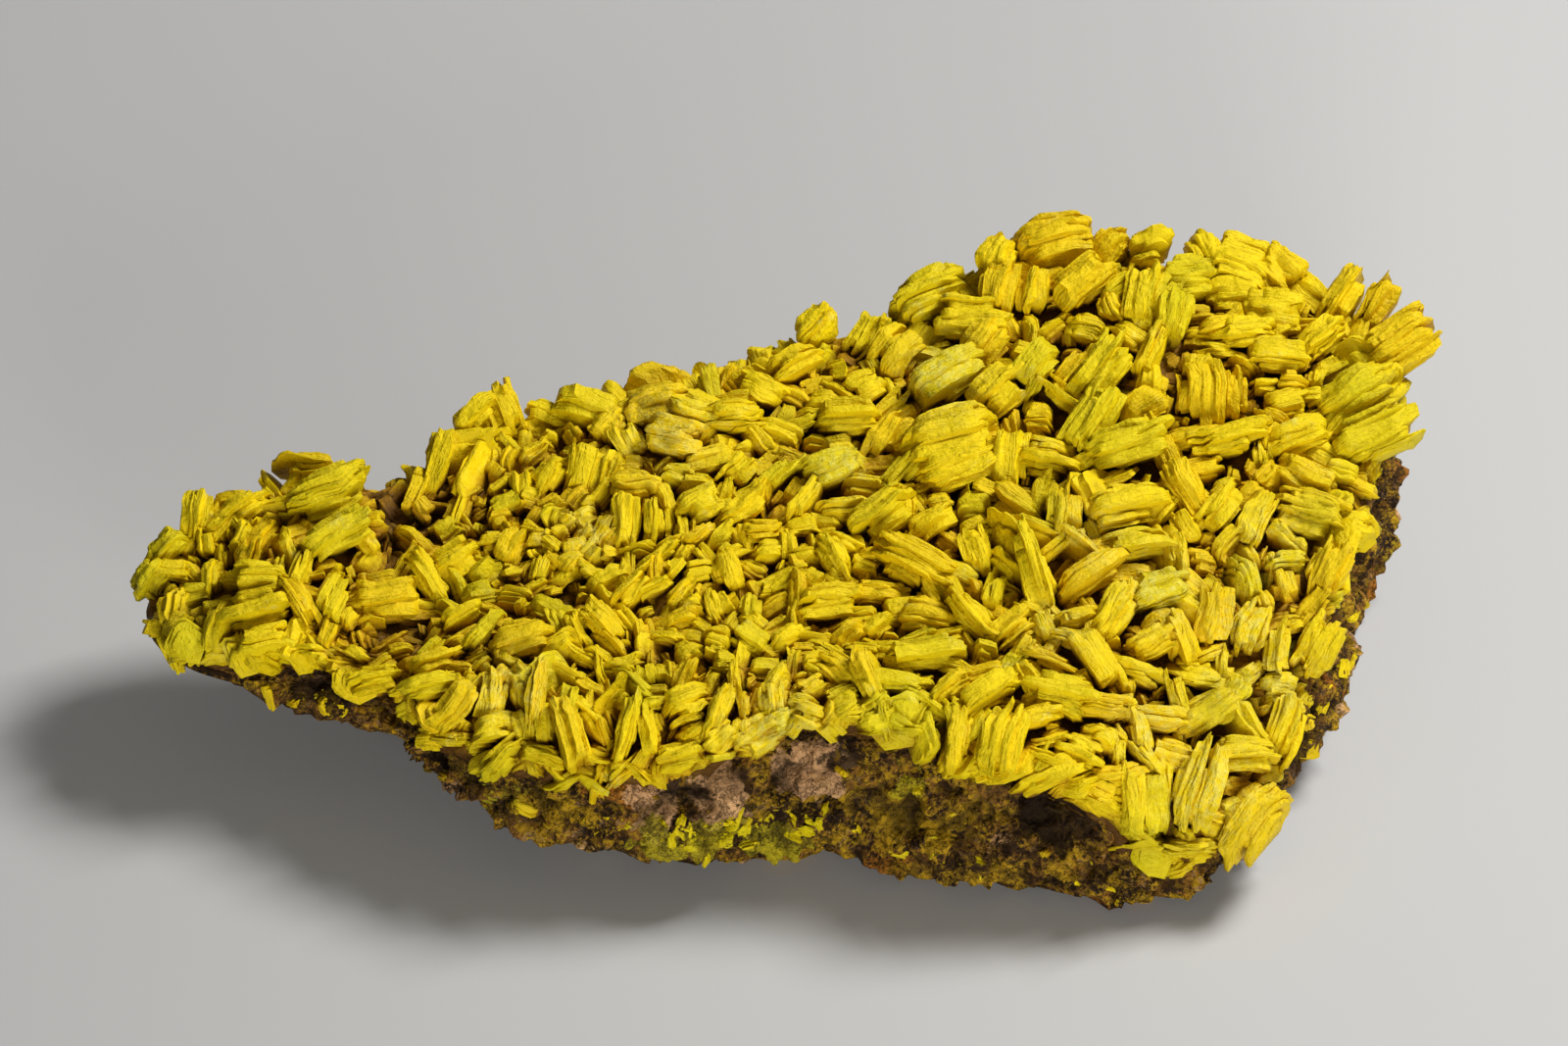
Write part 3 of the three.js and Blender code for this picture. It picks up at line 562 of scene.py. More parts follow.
def filling_books(taken, spacing, tries, seed, sizes, sink):
    """Books thrown where there is room: each is like its nearest picked book, at a turn near that one's."""
    roll = np.random.default_rng(seed)
    rim = closed_curve(RIM, roll.random(tries))[:, :2]
    share = np.sqrt(roll.random(tries))
    x, y = (rim * (FILLING["reach"] * share)[:, None]).T
    spots = np.stack([x, y, face_height(x, y) + BED_THICKNESS], -1)
    like = like_picks(spots)
    length = PICKED_BOOKS[like, 2] * roll.uniform(*sizes, tries)
    stack = FILLING["stack"] * PICKED_BOOKS[like, 3] * roll.uniform(*sizes, tries)
    room = spacing * np.sqrt(length * stack)
    kept_spots = [*taken["centre"][:, :2]]
    kept_rooms = [*(spacing * np.sqrt(taken["length"] * taken["stack"]))]
    kept = []
    for i in range(tries):
        gaps = np.hypot(*(np.array(kept_spots) - spots[i, :2]).T)
        if np.all(gaps > 0.5 * (room[i] + np.array(kept_rooms))):
            kept.append(i)
            kept_spots.append(spots[i, :2])
            kept_rooms.append(room[i])
    count = len(kept)
    length, stack, centre, share = length[kept], stack[kept], spots[kept], share[kept]
    depth = book_depth(length)
    normal = face_normal(centre[:, 0], centre[:, 1])
    angle = PICKED_BOOKS[like[kept], 4] + roll.normal(0, FILLING["turns"], count)
    along = edge_direction(angle, normal, FILLING["flatten"])
    outward = unit(centre * np.array([1, 1, 0]))
    lean = (FILLING["lean"] * smoothstep(share, *FILLING["lean_at"]))[:, None]
    tilt = FILLING["tilt"] * roll.normal(0, 1, (count, 3))
    out = upright(FILLING["upright"] * normal + FILLING["viewer"] * BACK + lean * outward + tilt, along)
    lift = FILLING["lift"] * depth - sink + roll.normal(0, FILLING["uneven"], count)
    return book_group(centre + normal * lift[:, None], along, out, length, stack, depth)


def rim_arch(x, y):
    """How far the crust's front edge lies higher: bell-shaped arches along x."""
    return (y < 0) * sum(rise * np.exp(-(((x - middle) / width) ** 2)) for middle, rise, width in RIM_ARCHES)


def rim_books():
    """Books along the rim, each like its nearest picked book, leaning out and mostly seen edge-on."""
    roll = np.random.default_rng(RIM_ROW["seed"])
    count = RIM_ROW["count"]
    t = (np.arange(count) + roll.uniform(-RIM_ROW["stray"], RIM_ROW["stray"], count)) / count
    ends = np.concatenate([[0], np.cumsum(np.hypot(*np.diff(RIM_LINE[:, :2], axis=0).T))])
    even = np.interp(np.mod(t, 1) * ends[-1], ends, np.arange(RIM_SAMPLES) / RIM_SAMPLES)
    spots = closed_curve(RIM, even)[:, :2] * roll.uniform(*RIM_ROW["reach"], count)[:, None]
    x, y = spots.T
    like = like_picks(spots)
    outward = unit(np.stack([x, y, np.zeros(count)], -1))
    behind = smoothstep(outward[:, 1], *RIM_ROW["behind"])
    length = PICKED_BOOKS[like, 2] * roll.uniform(*RIM_ROW["length"], count)
    length = length * (1 + RIM_ROW["longer"] * behind)
    stack = PICKED_BOOKS[like, 3] * roll.uniform(*RIM_ROW["stack"], count)
    stack = stack * (1 + RIM_ROW["thicker"] * behind)
    tilt = RIM_ROW["tilt"] * roll.normal(0, 1, (count, 3))
    out = unit(RIM_ROW["upright"] * face_normal(x, y) + RIM_ROW["outward"] * outward + tilt)
    side = unit(np.cross(out, np.array([0.0, 0.0, 1.0])))
    turn = roll.uniform(0, math.pi, count)[:, None]
    along = np.cos(turn) * side + np.sin(turn) * np.cross(side, out)
    edge_on = np.cross(out, np.cross(out, BACK))
    edge_on = edge_on * np.sign((along * edge_on).sum(-1, keepdims=True))
    along = unit(along + RIM_ROW["edge_on"] * edge_on)
    lift = roll.uniform(*RIM_ROW["lift"], count) + rim_arch(x, y) + RIM_ROW["higher"] * behind
    centre = np.stack([x, y, face_height(x, y) + lift], -1)
    return book_group(centre, along, out, length, stack, book_depth(length))


def picture_spots(points, spots):
    """Bell-shaped spots seen from the front, each of a pixel, a radius and, if given, a strength."""
    px, py = pixels(points)
    total = np.zeros(px.shape)
    for cx, cy, radius, *strength in spots:
        away = np.hypot(px - cx, py - cy) / radius
        total = np.maximum(total, (strength[0] if strength else 1.0) * np.exp(-(away**2)))
    return total


def exposure(points):
    """How far a point stands clear of the bed: over it, or out past the rim."""
    x, y = points[..., 0], points[..., 1]
    over = points[..., 2] - face_height(x, y) - CLEAR["over"]
    past = (rim_fraction(x, y) - CLEAR["rim"]) * np.hypot(x, y) + CLEAR["past"]
    return np.maximum(over, past)


def book_group(centre, along, out, length, stack, depth, clear=0.0):
    """A group of books; clear is how far they count as standing free of the bed beyond what they do, which
    sets their painted shade.
    """
    return {
        "centre": centre, "along": along, "out": out, "length": length, "stack": stack, "depth": depth,
        "clear": np.full(len(length), clear),
    }


def join_books(*groups):
    """Several groups of books as one."""
    return {key: np.concatenate([group[key] for group in groups]) for key in groups[0]}


def tablet_outlines(turns, length, height, k, roll):
    """The outlines of k tablets a book, as offsets along the edges and outwards.

    An outline is a superellipse with waves, chips and a rough edge. The stack is a barrel, highest and
    longest in its middle. Some tablets are short, and all are a little turned and shifted, most at the ends.
    Also returns the plain superellipses and where the tablets meet across the stack.
    """
    b, columns = len(length), len(turns)
    book, tablet, point = (b, 1, 1), (b, k, 1), (b, k, columns)
    cos, sin = np.cos(turns), np.sin(turns)
    power = 2 / (roll.uniform(*BOOK["square"], book) + roll.uniform(*BOOK["square_spread"], tablet))
    shape = np.stack([np.sign(cos) * np.abs(cos) ** power, np.sign(sin) * np.abs(sin) ** power])
    widths = np.exp(roll.normal(0, BOOK["uneven"], (b, k)))
    edges = np.cumsum(widths / widths.sum(1, keepdims=True), 1)
    edges = np.concatenate([np.zeros((b, 1)), edges], 1) - 0.5
    middle = np.abs(edges[:, 1:] + edges[:, :-1])[:, :, None]
    barrel = 1 - roll.uniform(*BOOK["barrel"], book) * middle ** roll.uniform(*BOOK["barrel_power"], book)
    short = BOOK["short"] * roll.random(tablet) * (roll.random(tablet) < BOOK["short_share"])
    size_x = barrel ** BOOK["barrel_length"] * (1 + roll.normal(0, BOOK["length"], tablet) - short)
    size_y = barrel * (1 - np.abs(roll.normal(0, BOOK["height"], tablet)) - BOOK["short_height"] * short)
    wave = 0
    for order, amount in WAVES:
        phase = roll.uniform(0, BOOK["round"], book) + roll.normal(0, BOOK["sway"], tablet)
        wave = wave + amount * np.sin(order * turns + phase)
    chip = BOOK["chip"] * (roll.random(point) < BOOK["chip_share"])
    jag = 1 + wave + roll.normal(0, BOOK["jag"], point) - chip
    turn = roll.normal(0, BOOK["turn"], tablet)
    flat_x = 0.5 * length * size_x * jag * shape[0]
    flat_y = 0.5 * height * size_y * jag * shape[1]
    stray = BOOK["stray"] + BOOK["end_stray"] * middle ** BOOK["end_power"]
    shift = length * stray * roll.normal(0, 1, tablet)
    sag = height * stray * np.abs(roll.normal(0, BOOK["sag"], tablet))
    x = flat_x * np.cos(turn) - flat_y * np.sin(turn) + shift
    y = flat_x * np.sin(turn) + flat_y * np.cos(turn) - sag
    return np.stack([x, y]), shape, edges


def cap_ring(share, outline, off):
    """A ring on a stack's end: the outline made smaller and moved along the edges and inwards."""
    return share * outline + np.stack([off[0], -np.abs(off[1])])


def book_rings(pick, k, turns, roll):
    """Rings across the stacks of books with k tablets: outlines along and outwards, and places across.

    Each tablet has a groove, here and there open as a cleft, and two rings at its edge. Each end of the stack
    is flat, with one smaller tablet on it. Also returns the number of rings in front, on a tablet and behind.
    """
    length, stack, depth = (pick[key][:, None, None] for key in ("length", "stack", "depth"))
    outline, shape, edges = tablet_outlines(turns, length, depth + DEPTH["root"], k, roll)
    b, columns = len(length), len(turns)
    tablet = (b, k, 1)
    opening = 0.5 + 0.5 * np.sin(2 * turns + roll.uniform(0, BOOK["round"], tablet))
    groove = roll.uniform(*BOOK["groove"], tablet) + BOOK["open"] * opening
    groove = groove + BOOK["cleft"] * opening * (roll.random(tablet) < BOOK["cleft_share"])
    groove[:, 0] = BOOK["first_groove"]
    steps = ((0.0, groove), *TABLET_EDGE)
    rows = len(steps) * k
    sides = np.stack([outline - inset * shape for _, inset in steps], 3).reshape(2, b, rows, columns)
    spans = edges[:, 1:] - edges[:, :-1]
    across = np.stack([edges[:, :-1] + share * spans for share, _ in steps], 2).reshape(b, rows, 1)
    off = CAP["off"] * length * np.clip(roll.normal(0, 1, (4, b, 1, 1)), -CAP["most_off"], CAP["most_off"])
    first, last = outline[:, :, :1], outline[:, :, -1:]
    front = [cap_ring(CAP[part], first, off[:2]) for part in ("top", "foot")]
    back = [CAP["rim"] * last, *(cap_ring(CAP[part], last, off[2:]) for part in ("foot", "top"))]
    rise = roll.uniform(*CAP["rise"], (2, b, 1, 1)) / stack
    end = np.full((b, 1, 1), 0.5)
    across = np.concatenate([-end - rise[0], -end, across, end, end, end + rise[1]], 1)
    return np.concatenate([*front, sides, *back], 2), across, [len(front), len(steps), len(back)]


def with_poles(rings):
    """Each book's rings in one row, followed by the middles of its first and last ring."""
    return np.concatenate([rings.reshape(len(rings), -1), rings[:, [0, -1]].mean(-1)], 1)


def placed_books(pick, owner, x, y, c, roll, seed):
    """Points of books and their UV map, from offsets along the edges, outwards and across the stack.

    Noise drawn out along the edges wrinkles the outlines. The stack fans out towards its tips, tapers towards
    the ends of its edges and bends. Slow and fine noise moves every point, but none below the table.
    """
    long, thick, depth = (pick[key][:, None] for key in ("length", "stack", "depth"))
    deep = depth + DEPTH["root"]
    grain = [
        x / BENDING["wrinkle_long"], c * thick / BENDING["wrinkle_across"],
        y / BENDING["wrinkle_long"] + BOOK_SHIFT["noise"] * owner,
    ]
    wrinkle = noise(np.stack(grain, -1), 1.0, seed + SEEDS["wrinkle"])
    x = x * (1 + BENDING["wrinkle_x"] * wrinkle)
    y = y * (1 + BENDING["wrinkle_y"] * wrinkle)
    reach_x, reach_y = 2 * x / long, 2 * y / deep
    fan = roll.uniform(*BENDING["fan"], long.shape)
    taper = roll.uniform(*BENDING["taper"], long.shape)
    bend = roll.normal(0, BENDING["bend"], long.shape)
    ends = np.clip(reach_x, -BENDING["taper_to"], BENDING["taper_to"])
    spread = 1 + fan * np.clip(reach_y, -1, 1) - taper * ends**2
    across = thick * (c * spread + bend * reach_x**2)
    out = y + BENDING["seat"] * depth - 0.5 * deep
    points = (
        pick["centre"][:, None]
        + x[..., None] * pick["along"][:, None]
        + out[..., None] * pick["out"][:, None]
        + across[..., None] * np.cross(pick["along"], pick["out"])[:, None]
    )
    swirl = np.stack([noise(points, BENDING["swirl_size"], seed + i) for i in range(3)], -1)
    finer = seed + SEEDS["crumble"]
    crumble = np.stack([noise(points, BENDING["crumble_size"], finer + i) for i in range(3)], -1)
    points = points + BENDING["swirl"] * swirl + BENDING["crumble"] * crumble
    points[..., 2] = np.maximum(points[..., 2], 0)
    return points, np.stack([x + BOOK_SHIFT["along"] * owner, across + BOOK_SHIFT["across"] * owner], -1)


def stacked_books(books, leaf, columns_seen, seed):
    """Every book as closed rings round its stack of tablets: points, triangles, point values and UV map.

    Books with equally many tablets are made together. A tablet's outline has most of its points on the half
    that shows. The values are how far a point stands clear of the bed, which sets its painted shade, a tone
    for each book, one for each tablet, and how dusty and how green the place is.
    """
    roll = np.random.default_rng(seed)
    thickness = leaf * (1 + BOOK["thicker"] * smoothstep(books["stack"], *BOOK["thicker_at"]))
    thickness = thickness * roll.uniform(*BOOK["thickness"], len(books["stack"]))
    tablets = np.clip(np.round(books["stack"] / thickness), *BOOK["tablets"]).astype(int)
    seen = np.linspace(-BOOK["margin"], math.pi + BOOK["margin"], columns_seen)
    hidden = np.linspace(math.pi + BOOK["margin"], 2 * math.pi - BOOK["margin"], BOOK["hidden"] + 2)[1:-1]
    turns = np.concatenate([seen, hidden])
    points, triangles, uv = [], [], []
    values = {"unshaded": [], "tone": [], "leaf": [], "dust": [], "green": []}
    start = 0
    for k in np.unique(tablets):
        chosen = np.flatnonzero(tablets == k)
        pick = {key: value[chosen] for key, value in books.items()}
        outlines, across, (front, sides, back) = book_rings(pick, k, turns, roll)
        b, rings, columns = outlines.shape[1:]
        x, y = with_poles(outlines[0]), with_poles(outlines[1])
        c = with_poles(np.repeat(across, columns, 2))
        owner = chosen[:, None] * np.ones_like(x)
        places, leaf_uv = placed_books(pick, owner, x, y, c, roll, seed)
        points.append(places.reshape(-1, 3))
        uv.append(leaf_uv.reshape(-1, 2))
        count = rings * columns + 2
        faces = ring_faces(rings, columns)
        triangles.append((faces[None] + start + count * np.arange(b)[:, None, None]).reshape(-1, 3))
        start += count * b
        # Painted shade: dark at the roots and between the books, lifting as a point stands clear of the bed.
        values["unshaded"].append(smoothstep(exposure(places) + pick["clear"][:, None], UNSHADED_FROM, UNSHADED_TO).ravel())
        values["dust"].append(picture_spots(places, PALE_SPOTS).ravel())
        values["green"].append(picture_spots(places, GREEN_SPOTS).ravel())
        values["tone"].append(np.broadcast_to(roll.random((b, 1)), (b, count)).ravel())
        rings_each = np.full(k, sides)
        rings_each[[0, -1]] += [front, back]
        tablet_tone = np.repeat(roll.random((b, k)), rings_each, 1)[..., None]
        values["leaf"].append(with_poles(np.repeat(tablet_tone, columns, 2)).ravel())
    joined = {key: np.concatenate(value) for key, value in values.items()}
    return np.concatenate(points), np.concatenate(triangles), joined, np.concatenate(uv)


def rock_rings():
    """The rock as rings: out along the underside, up the broken side, and in over the upper face."""
    rim = closed_curve(RIM, np.arange(ROCK_GRID["columns"]) / ROCK_GRID["columns"])
    x, y, inset = rim.T
    outward = unit(rim[:, :2])
    radius = np.hypot(x, y)
    rows = []
    for share in np.linspace(ROCK_GRID["middle"], 1, ROCK_GRID["under"]):
        reach = share * (1 - (inset + FOOT_SETBACK) / radius)
        rows.append(np.stack([x * reach, y * reach, underside(x * reach)], -1))
    low = underside(x) + FOOT_CHAMFER
    high = face_height(x, y) - WALL_TOP_DROP
    for level in np.linspace(0, 1, ROCK_GRID["wall"]):
        z = low + (high - low) * level
        bulge = WALL_BULGE * np.sin(math.pi * level) * np.ones_like(z)
        for fx, fy, fz, rise, width in WALL_FORMS:
            bulge = bulge + rise * np.exp(-((x - fx) ** 2 + (y - fy) ** 2 + (z - fz) ** 2) / width**2)
        out = bulge - inset * (1 - level)
        rows.append(np.stack([x + outward[:, 0] * out, y + outward[:, 1] * out, z], -1))
    for share in ROCK_GRID["face"]:
        rows.append(np.stack([x * share, y * share, face_height(x * share, y * share)], -1))
    return np.stack(rows)


def rock_surface(strength):
    """The rock's rings pushed out and in along their normals, and kept above the table.

    The push is a sum of slow noise, broken facets, rounded grains, grit and pits. Quartz and seam patches
    stand out and dark patches lie deeper. Returns the rings, the push, the grain distance and the patches.
    """
    rings = rock_rings()
    normal = grid_normals(rings)
    masks = rock_masks(rings, normal)
    _, facet = grains(rings, RELIEF["facet_size"], SEEDS["facet"])
    grain_edge, grain = grains(rings, RELIEF["grain_size"], SEEDS["grain"])
    grit_edge, _ = grains(rings, RELIEF["grit_size"], SEEDS["grit"])
    relief = RELIEF["slow"] * fractal(rings, RELIEF["slow_size"], 3, SEEDS["slow"]) + facet
    relief = relief + RELIEF["grain"] * (0.5 - grain_edge) + RELIEF["slope"] * grain
    relief = relief + RELIEF["grit"] * (0.5 - grit_edge)
    relief = relief - smoothstep(fractal(rings, RELIEF["pit_size"], 3, SEEDS["pits"]), *RELIEF["pits"])
    lumps = masks["quartz"] + RELIEF["seam"] * masks["seam"]
    relief = relief + lumps * (RELIEF["lump"] - grain_edge) - RELIEF["hollow"] * masks["dark"]
    x, y, z = np.moveaxis(rings, -1, 0)
    level = np.clip((z - face_height(x, y) + RELIEF["top_band"]) / RELIEF["top_band"], 0, 1)
    foot = 1 - smoothstep(z - underside(x), 0, RELIEF["foot_band"])
    fade = (1 - RELIEF["top_fade"] * level) * (1 - RELIEF["foot_fade"] * foot)
    relief = strength * np.clip(relief, RELIEF["deepest"], RELIEF["highest"]) * fade
    flat = smoothstep(-normal[..., 2], *RELIEF["flat"])
    relief = np.where(flat > 0, relief * (1 - flat) - flat * RELIEF["under"] * np.abs(relief), relief)
    rings = rings + relief[..., None] * normal
    rings[..., 2] = np.maximum(rings[..., 2], 0)
    return rings, relief, grain_edge, masks


def rock_masks(points, normal):
    """How far each patch reaches on the rock: ellipses seen from the front, and scattered ones elsewhere."""
    px, py = pixels(points)
    facing = smoothstep(normal @ BACK, 0.0, FACING_TO)
    ragged = PATCH_EDGE["ragged"] * fractal(points, PATCH_EDGE["size"], 4, SEEDS["ragged"])
    masks = {}
    for n, kind in enumerate(PATCH_KINDS):
        cloud = fractal(points, SCATTER_FORM["size"], 4, SEEDS["scatter"] + SEEDS["scatter_step"] * n)
        scattered = SCATTER[kind] * smoothstep(cloud, SCATTER_FORM["from"], SCATTER_FORM["to"])
        mask = scattered * (SCATTER_FORM["hidden"] * (1 - facing) + SCATTER_FORM["seen"] * facing)
        for cx, cy, rx, ry, name, strength in ROCK_PATCHES:
            if name == kind:
                away = np.hypot((px - cx) / rx, (py - cy) / ry) + PATCH_EDGE["share"] * ragged
                inside = 1 - smoothstep(away, PATCH_EDGE["inner"], PATCH_EDGE["outer"])
                mask = np.maximum(mask, strength * facing * inside)
        masks[kind] = np.clip(mask, 0, 1)
    return masks


def crumb_books(rings):
    """Small tablets on the rock's front, thrown along lines in the picture onto the nearest face there."""
    roll = np.random.default_rng(CRUMB["seed"])
    normal = grid_normals(rings).reshape(-1, 3)
    points = rings.reshape(-1, 3)
    seen = normal @ BACK > CRUMB["facing"]
    points, normal = points[seen], normal[seen]
    px, py = pixels(points)
    nearness = points @ BACK
    spots, sizes = [], []
    for x0, y0, x1, y1, count, spread, size, fresh in CRUMB_LINES:
        t = roll.random(count)
        line = np.stack([x0 + t * (x1 - x0), y0 + t * (y1 - y0)], -1) + roll.normal(0, spread, (count, 2))
        for spot in line:
            away = np.hypot(px - spot[0], py - spot[1])
            spots.append(np.argmax(np.where(away < CRUMB["near"], nearness, -np.inf)))
            sizes.append((size, fresh))
    count = len(spots)
    out = unit(normal[spots] + CRUMB["tilt"] * roll.normal(0, 1, (count, 3)))
    along = upright(roll.normal(0, 1, (count, 3)), out)
    size, fresh = np.array(sizes).T
    length = size * roll.uniform(*CRUMB["sizes"], count)
    centre = points[spots] - CRUMB["sink"] * length[:, None] * out
    # fresh is how far a crumb counts clear of the bed beyond its place; it deepens its painted shade towards
    # amber.
    return book_group(centre, along, out, length, CRUMB["stack"] * length, CRUMB["depth"] * length, fresh)


def bed_surface(strength):
    """The bed as rings from under the rim, over the lip and in over the face, crumbled by noise.

    Where the rim arches up, the lip is drawn back under the books.
    """
    x, y, _ = closed_curve(RIM, np.arange(BED["columns"]) / BED["columns"]).T
    outward = unit(np.stack([x, y], -1))
    inner = np.linspace(BED["from"], BED["to"], BED["rows"])
    rows = []
    for share, lift, lap in BED_LIP + [(share, BED["lift"], 0.0) for share in inner]:
        out = lap - BED["draw_back"] * rim_arch(x, y) * smoothstep(share, *BED["draw_at"])
        flat_x = x * share + outward[:, 0] * out
        flat_y = y * share + outward[:, 1] * out
        rows.append(np.stack([flat_x, flat_y, face_height(x * share, y * share) + lift], -1))
    rings = np.stack(rows)
    crumb_edge, crumb = grains(rings, BED["crumb_size"], SEEDS["crumb"])
    relief = BED["slow"] * fractal(rings, BED["slow_size"], 4, SEEDS["bed"])
    relief = relief + BED["crumb"] * (0.5 - crumb_edge) + BED["slope"] * crumb
    return rings + (strength * relief)[..., None] * grid_normals(rings)


def closed_rings(rings):
    """Ring points with a point at each end, and their triangles."""
    rows, columns = rings.shape[:2]
    ends = np.stack([rings[0].mean(0), rings[-1].mean(0)])
    return np.concatenate([rings.reshape(-1, 3), ends]), ring_faces(rows, columns)


class NodeBench:
    """A short way to add shader nodes and link them."""

    def __init__(self, name):
        self.material = bpy.data.materials.new(name)
        self.material.use_nodes = True
        self.tree = self.material.node_tree
        self.shader = self.tree.nodes["Principled BSDF"]

    def add(self, kind, inputs=None, **settings):
        """A node with its settings, and its inputs as values or as sockets to link."""
        node = self.tree.nodes.new(kind)
        for key, value in settings.items():
            setattr(node, key, value)
        for key, value in (inputs or {}).items():
            self.put(node.inputs[key], value)
        return node

    def put(self, socket, value):
        """Links a socket to another one, or sets its value."""
        if isinstance(value, bpy.types.NodeSocket):
            self.tree.links.new(value, socket)
        else:
            socket.default_value = value

    def value(self, name):
        """A point value of the mesh."""
        return self.add("ShaderNodeAttribute", attribute_name=name).outputs["Fac"]

    def place(self):
        """The point's place on the specimen."""
        return self.add("ShaderNodeTexCoord").outputs["Object"]

    def speckle(self, vector, scale, detail=4.0, rough=0.6):
        """Noise from 0 to 1 at a scale in lumps per metre."""
        inputs = {"Vector": vector, "Scale": scale, "Detail": detail, "Roughness": rough}
        return self.add("ShaderNodeTexNoise", inputs).outputs["Fac"]

    def moved(self, vector, by):
        """A vector shifted by another."""
        return self.add("ShaderNodeVectorMath", {0: vector, 1: by}, operation="ADD").outputs[0]

    def math(self, operation, a, b=0.0):
        """Arithmetic on two values."""
        return self.add("ShaderNodeMath", {0: a, 1: b}, operation=operation).outputs[0]

    def times(self, a, b):
        """One value times another."""
        return self.math("MULTIPLY", a, b)

    def plus(self, a, b):
        """One value and another."""
        return self.math("ADD", a, b)

    def minus(self, a, b):
        """One value less another."""
        return self.math("SUBTRACT", a, b)

    def step(self, value, low, high):
        """A smooth step of a value from 0 at low to 1 at high."""
        inputs = {"Value": value, "From Min": low, "From Max": high}
        node = self.add("ShaderNodeMapRange", inputs, interpolation_type="SMOOTHSTEP")
        return node.outputs["Result"]

    def blend(self, factor, first, second):
        """Two colours mixed by a factor."""
        node = self.add("ShaderNodeMix", data_type="RGBA")
        for key, value in {"Factor": factor, "A": first, "B": second}.items():
            socket = next(s for s in node.inputs if s.name == key and s.enabled)
            plain = key != "Factor" and not isinstance(value, bpy.types.NodeSocket)
            self.put(socket, (*value, 1) if plain else value)
        return next(s for s in node.outputs if s.enabled)

    def tint(self, colour, mask, share, paint):
        """A colour with a share of another one where a mask is."""
        return self.blend(self.times(mask, share), colour, paint)

    def bump(self, height, strength, distance, normal=None):
        """A bump of a height over a distance in metres."""
        inputs = {"Height": height, "Strength": strength, "Distance": distance}
        if normal is not None:
            inputs["Normal"] = normal
        return self.add("ShaderNodeBump", inputs).outputs["Normal"]

    def finish(self, sockets):
        """Links or sets the shader's own sockets."""
        for key, value in sockets.items():
            self.put(self.shader.inputs[key], value)
        return self.material


def crystal_material(settings):
    """Yellow crystal: painted shade from root colour through amber to lemon, streaks along the tablets, pale
    and green patches.
    """
    bench = NodeBench("yellow_crystal")
    place = bench.place()
    uv = bench.add("ShaderNodeUVMap", uv_map="leaf_uv").outputs["UV"]
    wander = bench.times(bench.minus(bench.speckle(place, 420.0, 3.0), 0.5), 0.5)
    shift = bench.add("ShaderNodeCombineXYZ", {"Y": wander}).outputs["Vector"]
    wavy = bench.moved(uv, shift)
    streak_at = bench.add("ShaderNodeMapping", {"Vector": wavy, "Scale": (0.45, 5.5, 1.0)}).outputs["Vector"]
    streak = bench.speckle(streak_at, 1.0, 3.0, 0.55)
    unshaded, tone, leaf = bench.value("unshaded"), bench.value("tone"), bench.value("leaf")
    cloud = bench.speckle(place, 110.0)
    grit = bench.speckle(place, 1700.0, 4.0, 0.65)
    # Painted shade: root colour and amber deep between the books and on the bed, lemon where a point stands
    # clear.
    depth = bench.plus(unshaded, bench.times(bench.minus(cloud, 0.5), 0.5))
    colour = bench.blend(bench.step(depth, 0.02, 0.4), settings.root_shade_colour, settings.amber_colour)
    colour = bench.blend(bench.step(depth, 0.25, 0.85), colour, settings.lemon_colour)
    colour = bench.tint(colour, bench.step(tone, 0.5, 1.0), 0.5, settings.gold_colour)
    fresh = bench.times(bench.step(tone, 0.25, 0.0), 0.3)
    fresh = bench.math("MAXIMUM", fresh, bench.times(bench.value("green"), 0.42))
    colour = bench.blend(fresh, colour, settings.green_colour)
    colour = bench.tint(colour, bench.step(streak, 0.48, 0.3), 0.22, settings.amber_colour)
    scattered = bench.times(bench.step(bench.speckle(place, 230.0, 5.0, 0.7), 0.58, 0.72), 0.42)
    dusty = bench.math("MAXIMUM", scattered, bench.times(bench.value("dust"), 0.42))
    dusty = bench.times(dusty, bench.step(grit, 0.4, 0.62))
    dusty = bench.times(dusty, bench.step(unshaded, 0.35, 0.8))
    colour = bench.blend(dusty, colour, settings.pale_colour)
    bump = bench.bump(streak, 0.65, 0.0005)
    bump = bench.bump(bench.speckle(place, 700.0, 3.0), 0.5, 0.0006, bump)
    bump = bench.bump(grit, 0.6, 0.0004, bump)
    rough = bench.plus(0.38, bench.times(grit, 0.3))
    rough = bench.plus(rough, bench.times(leaf, 0.08))
    shine = {"Roughness": rough, "Specular IOR Level": CRYSTAL_SPECULAR}
    return bench.finish({"Base Color": colour, "Normal": bump, **shine})


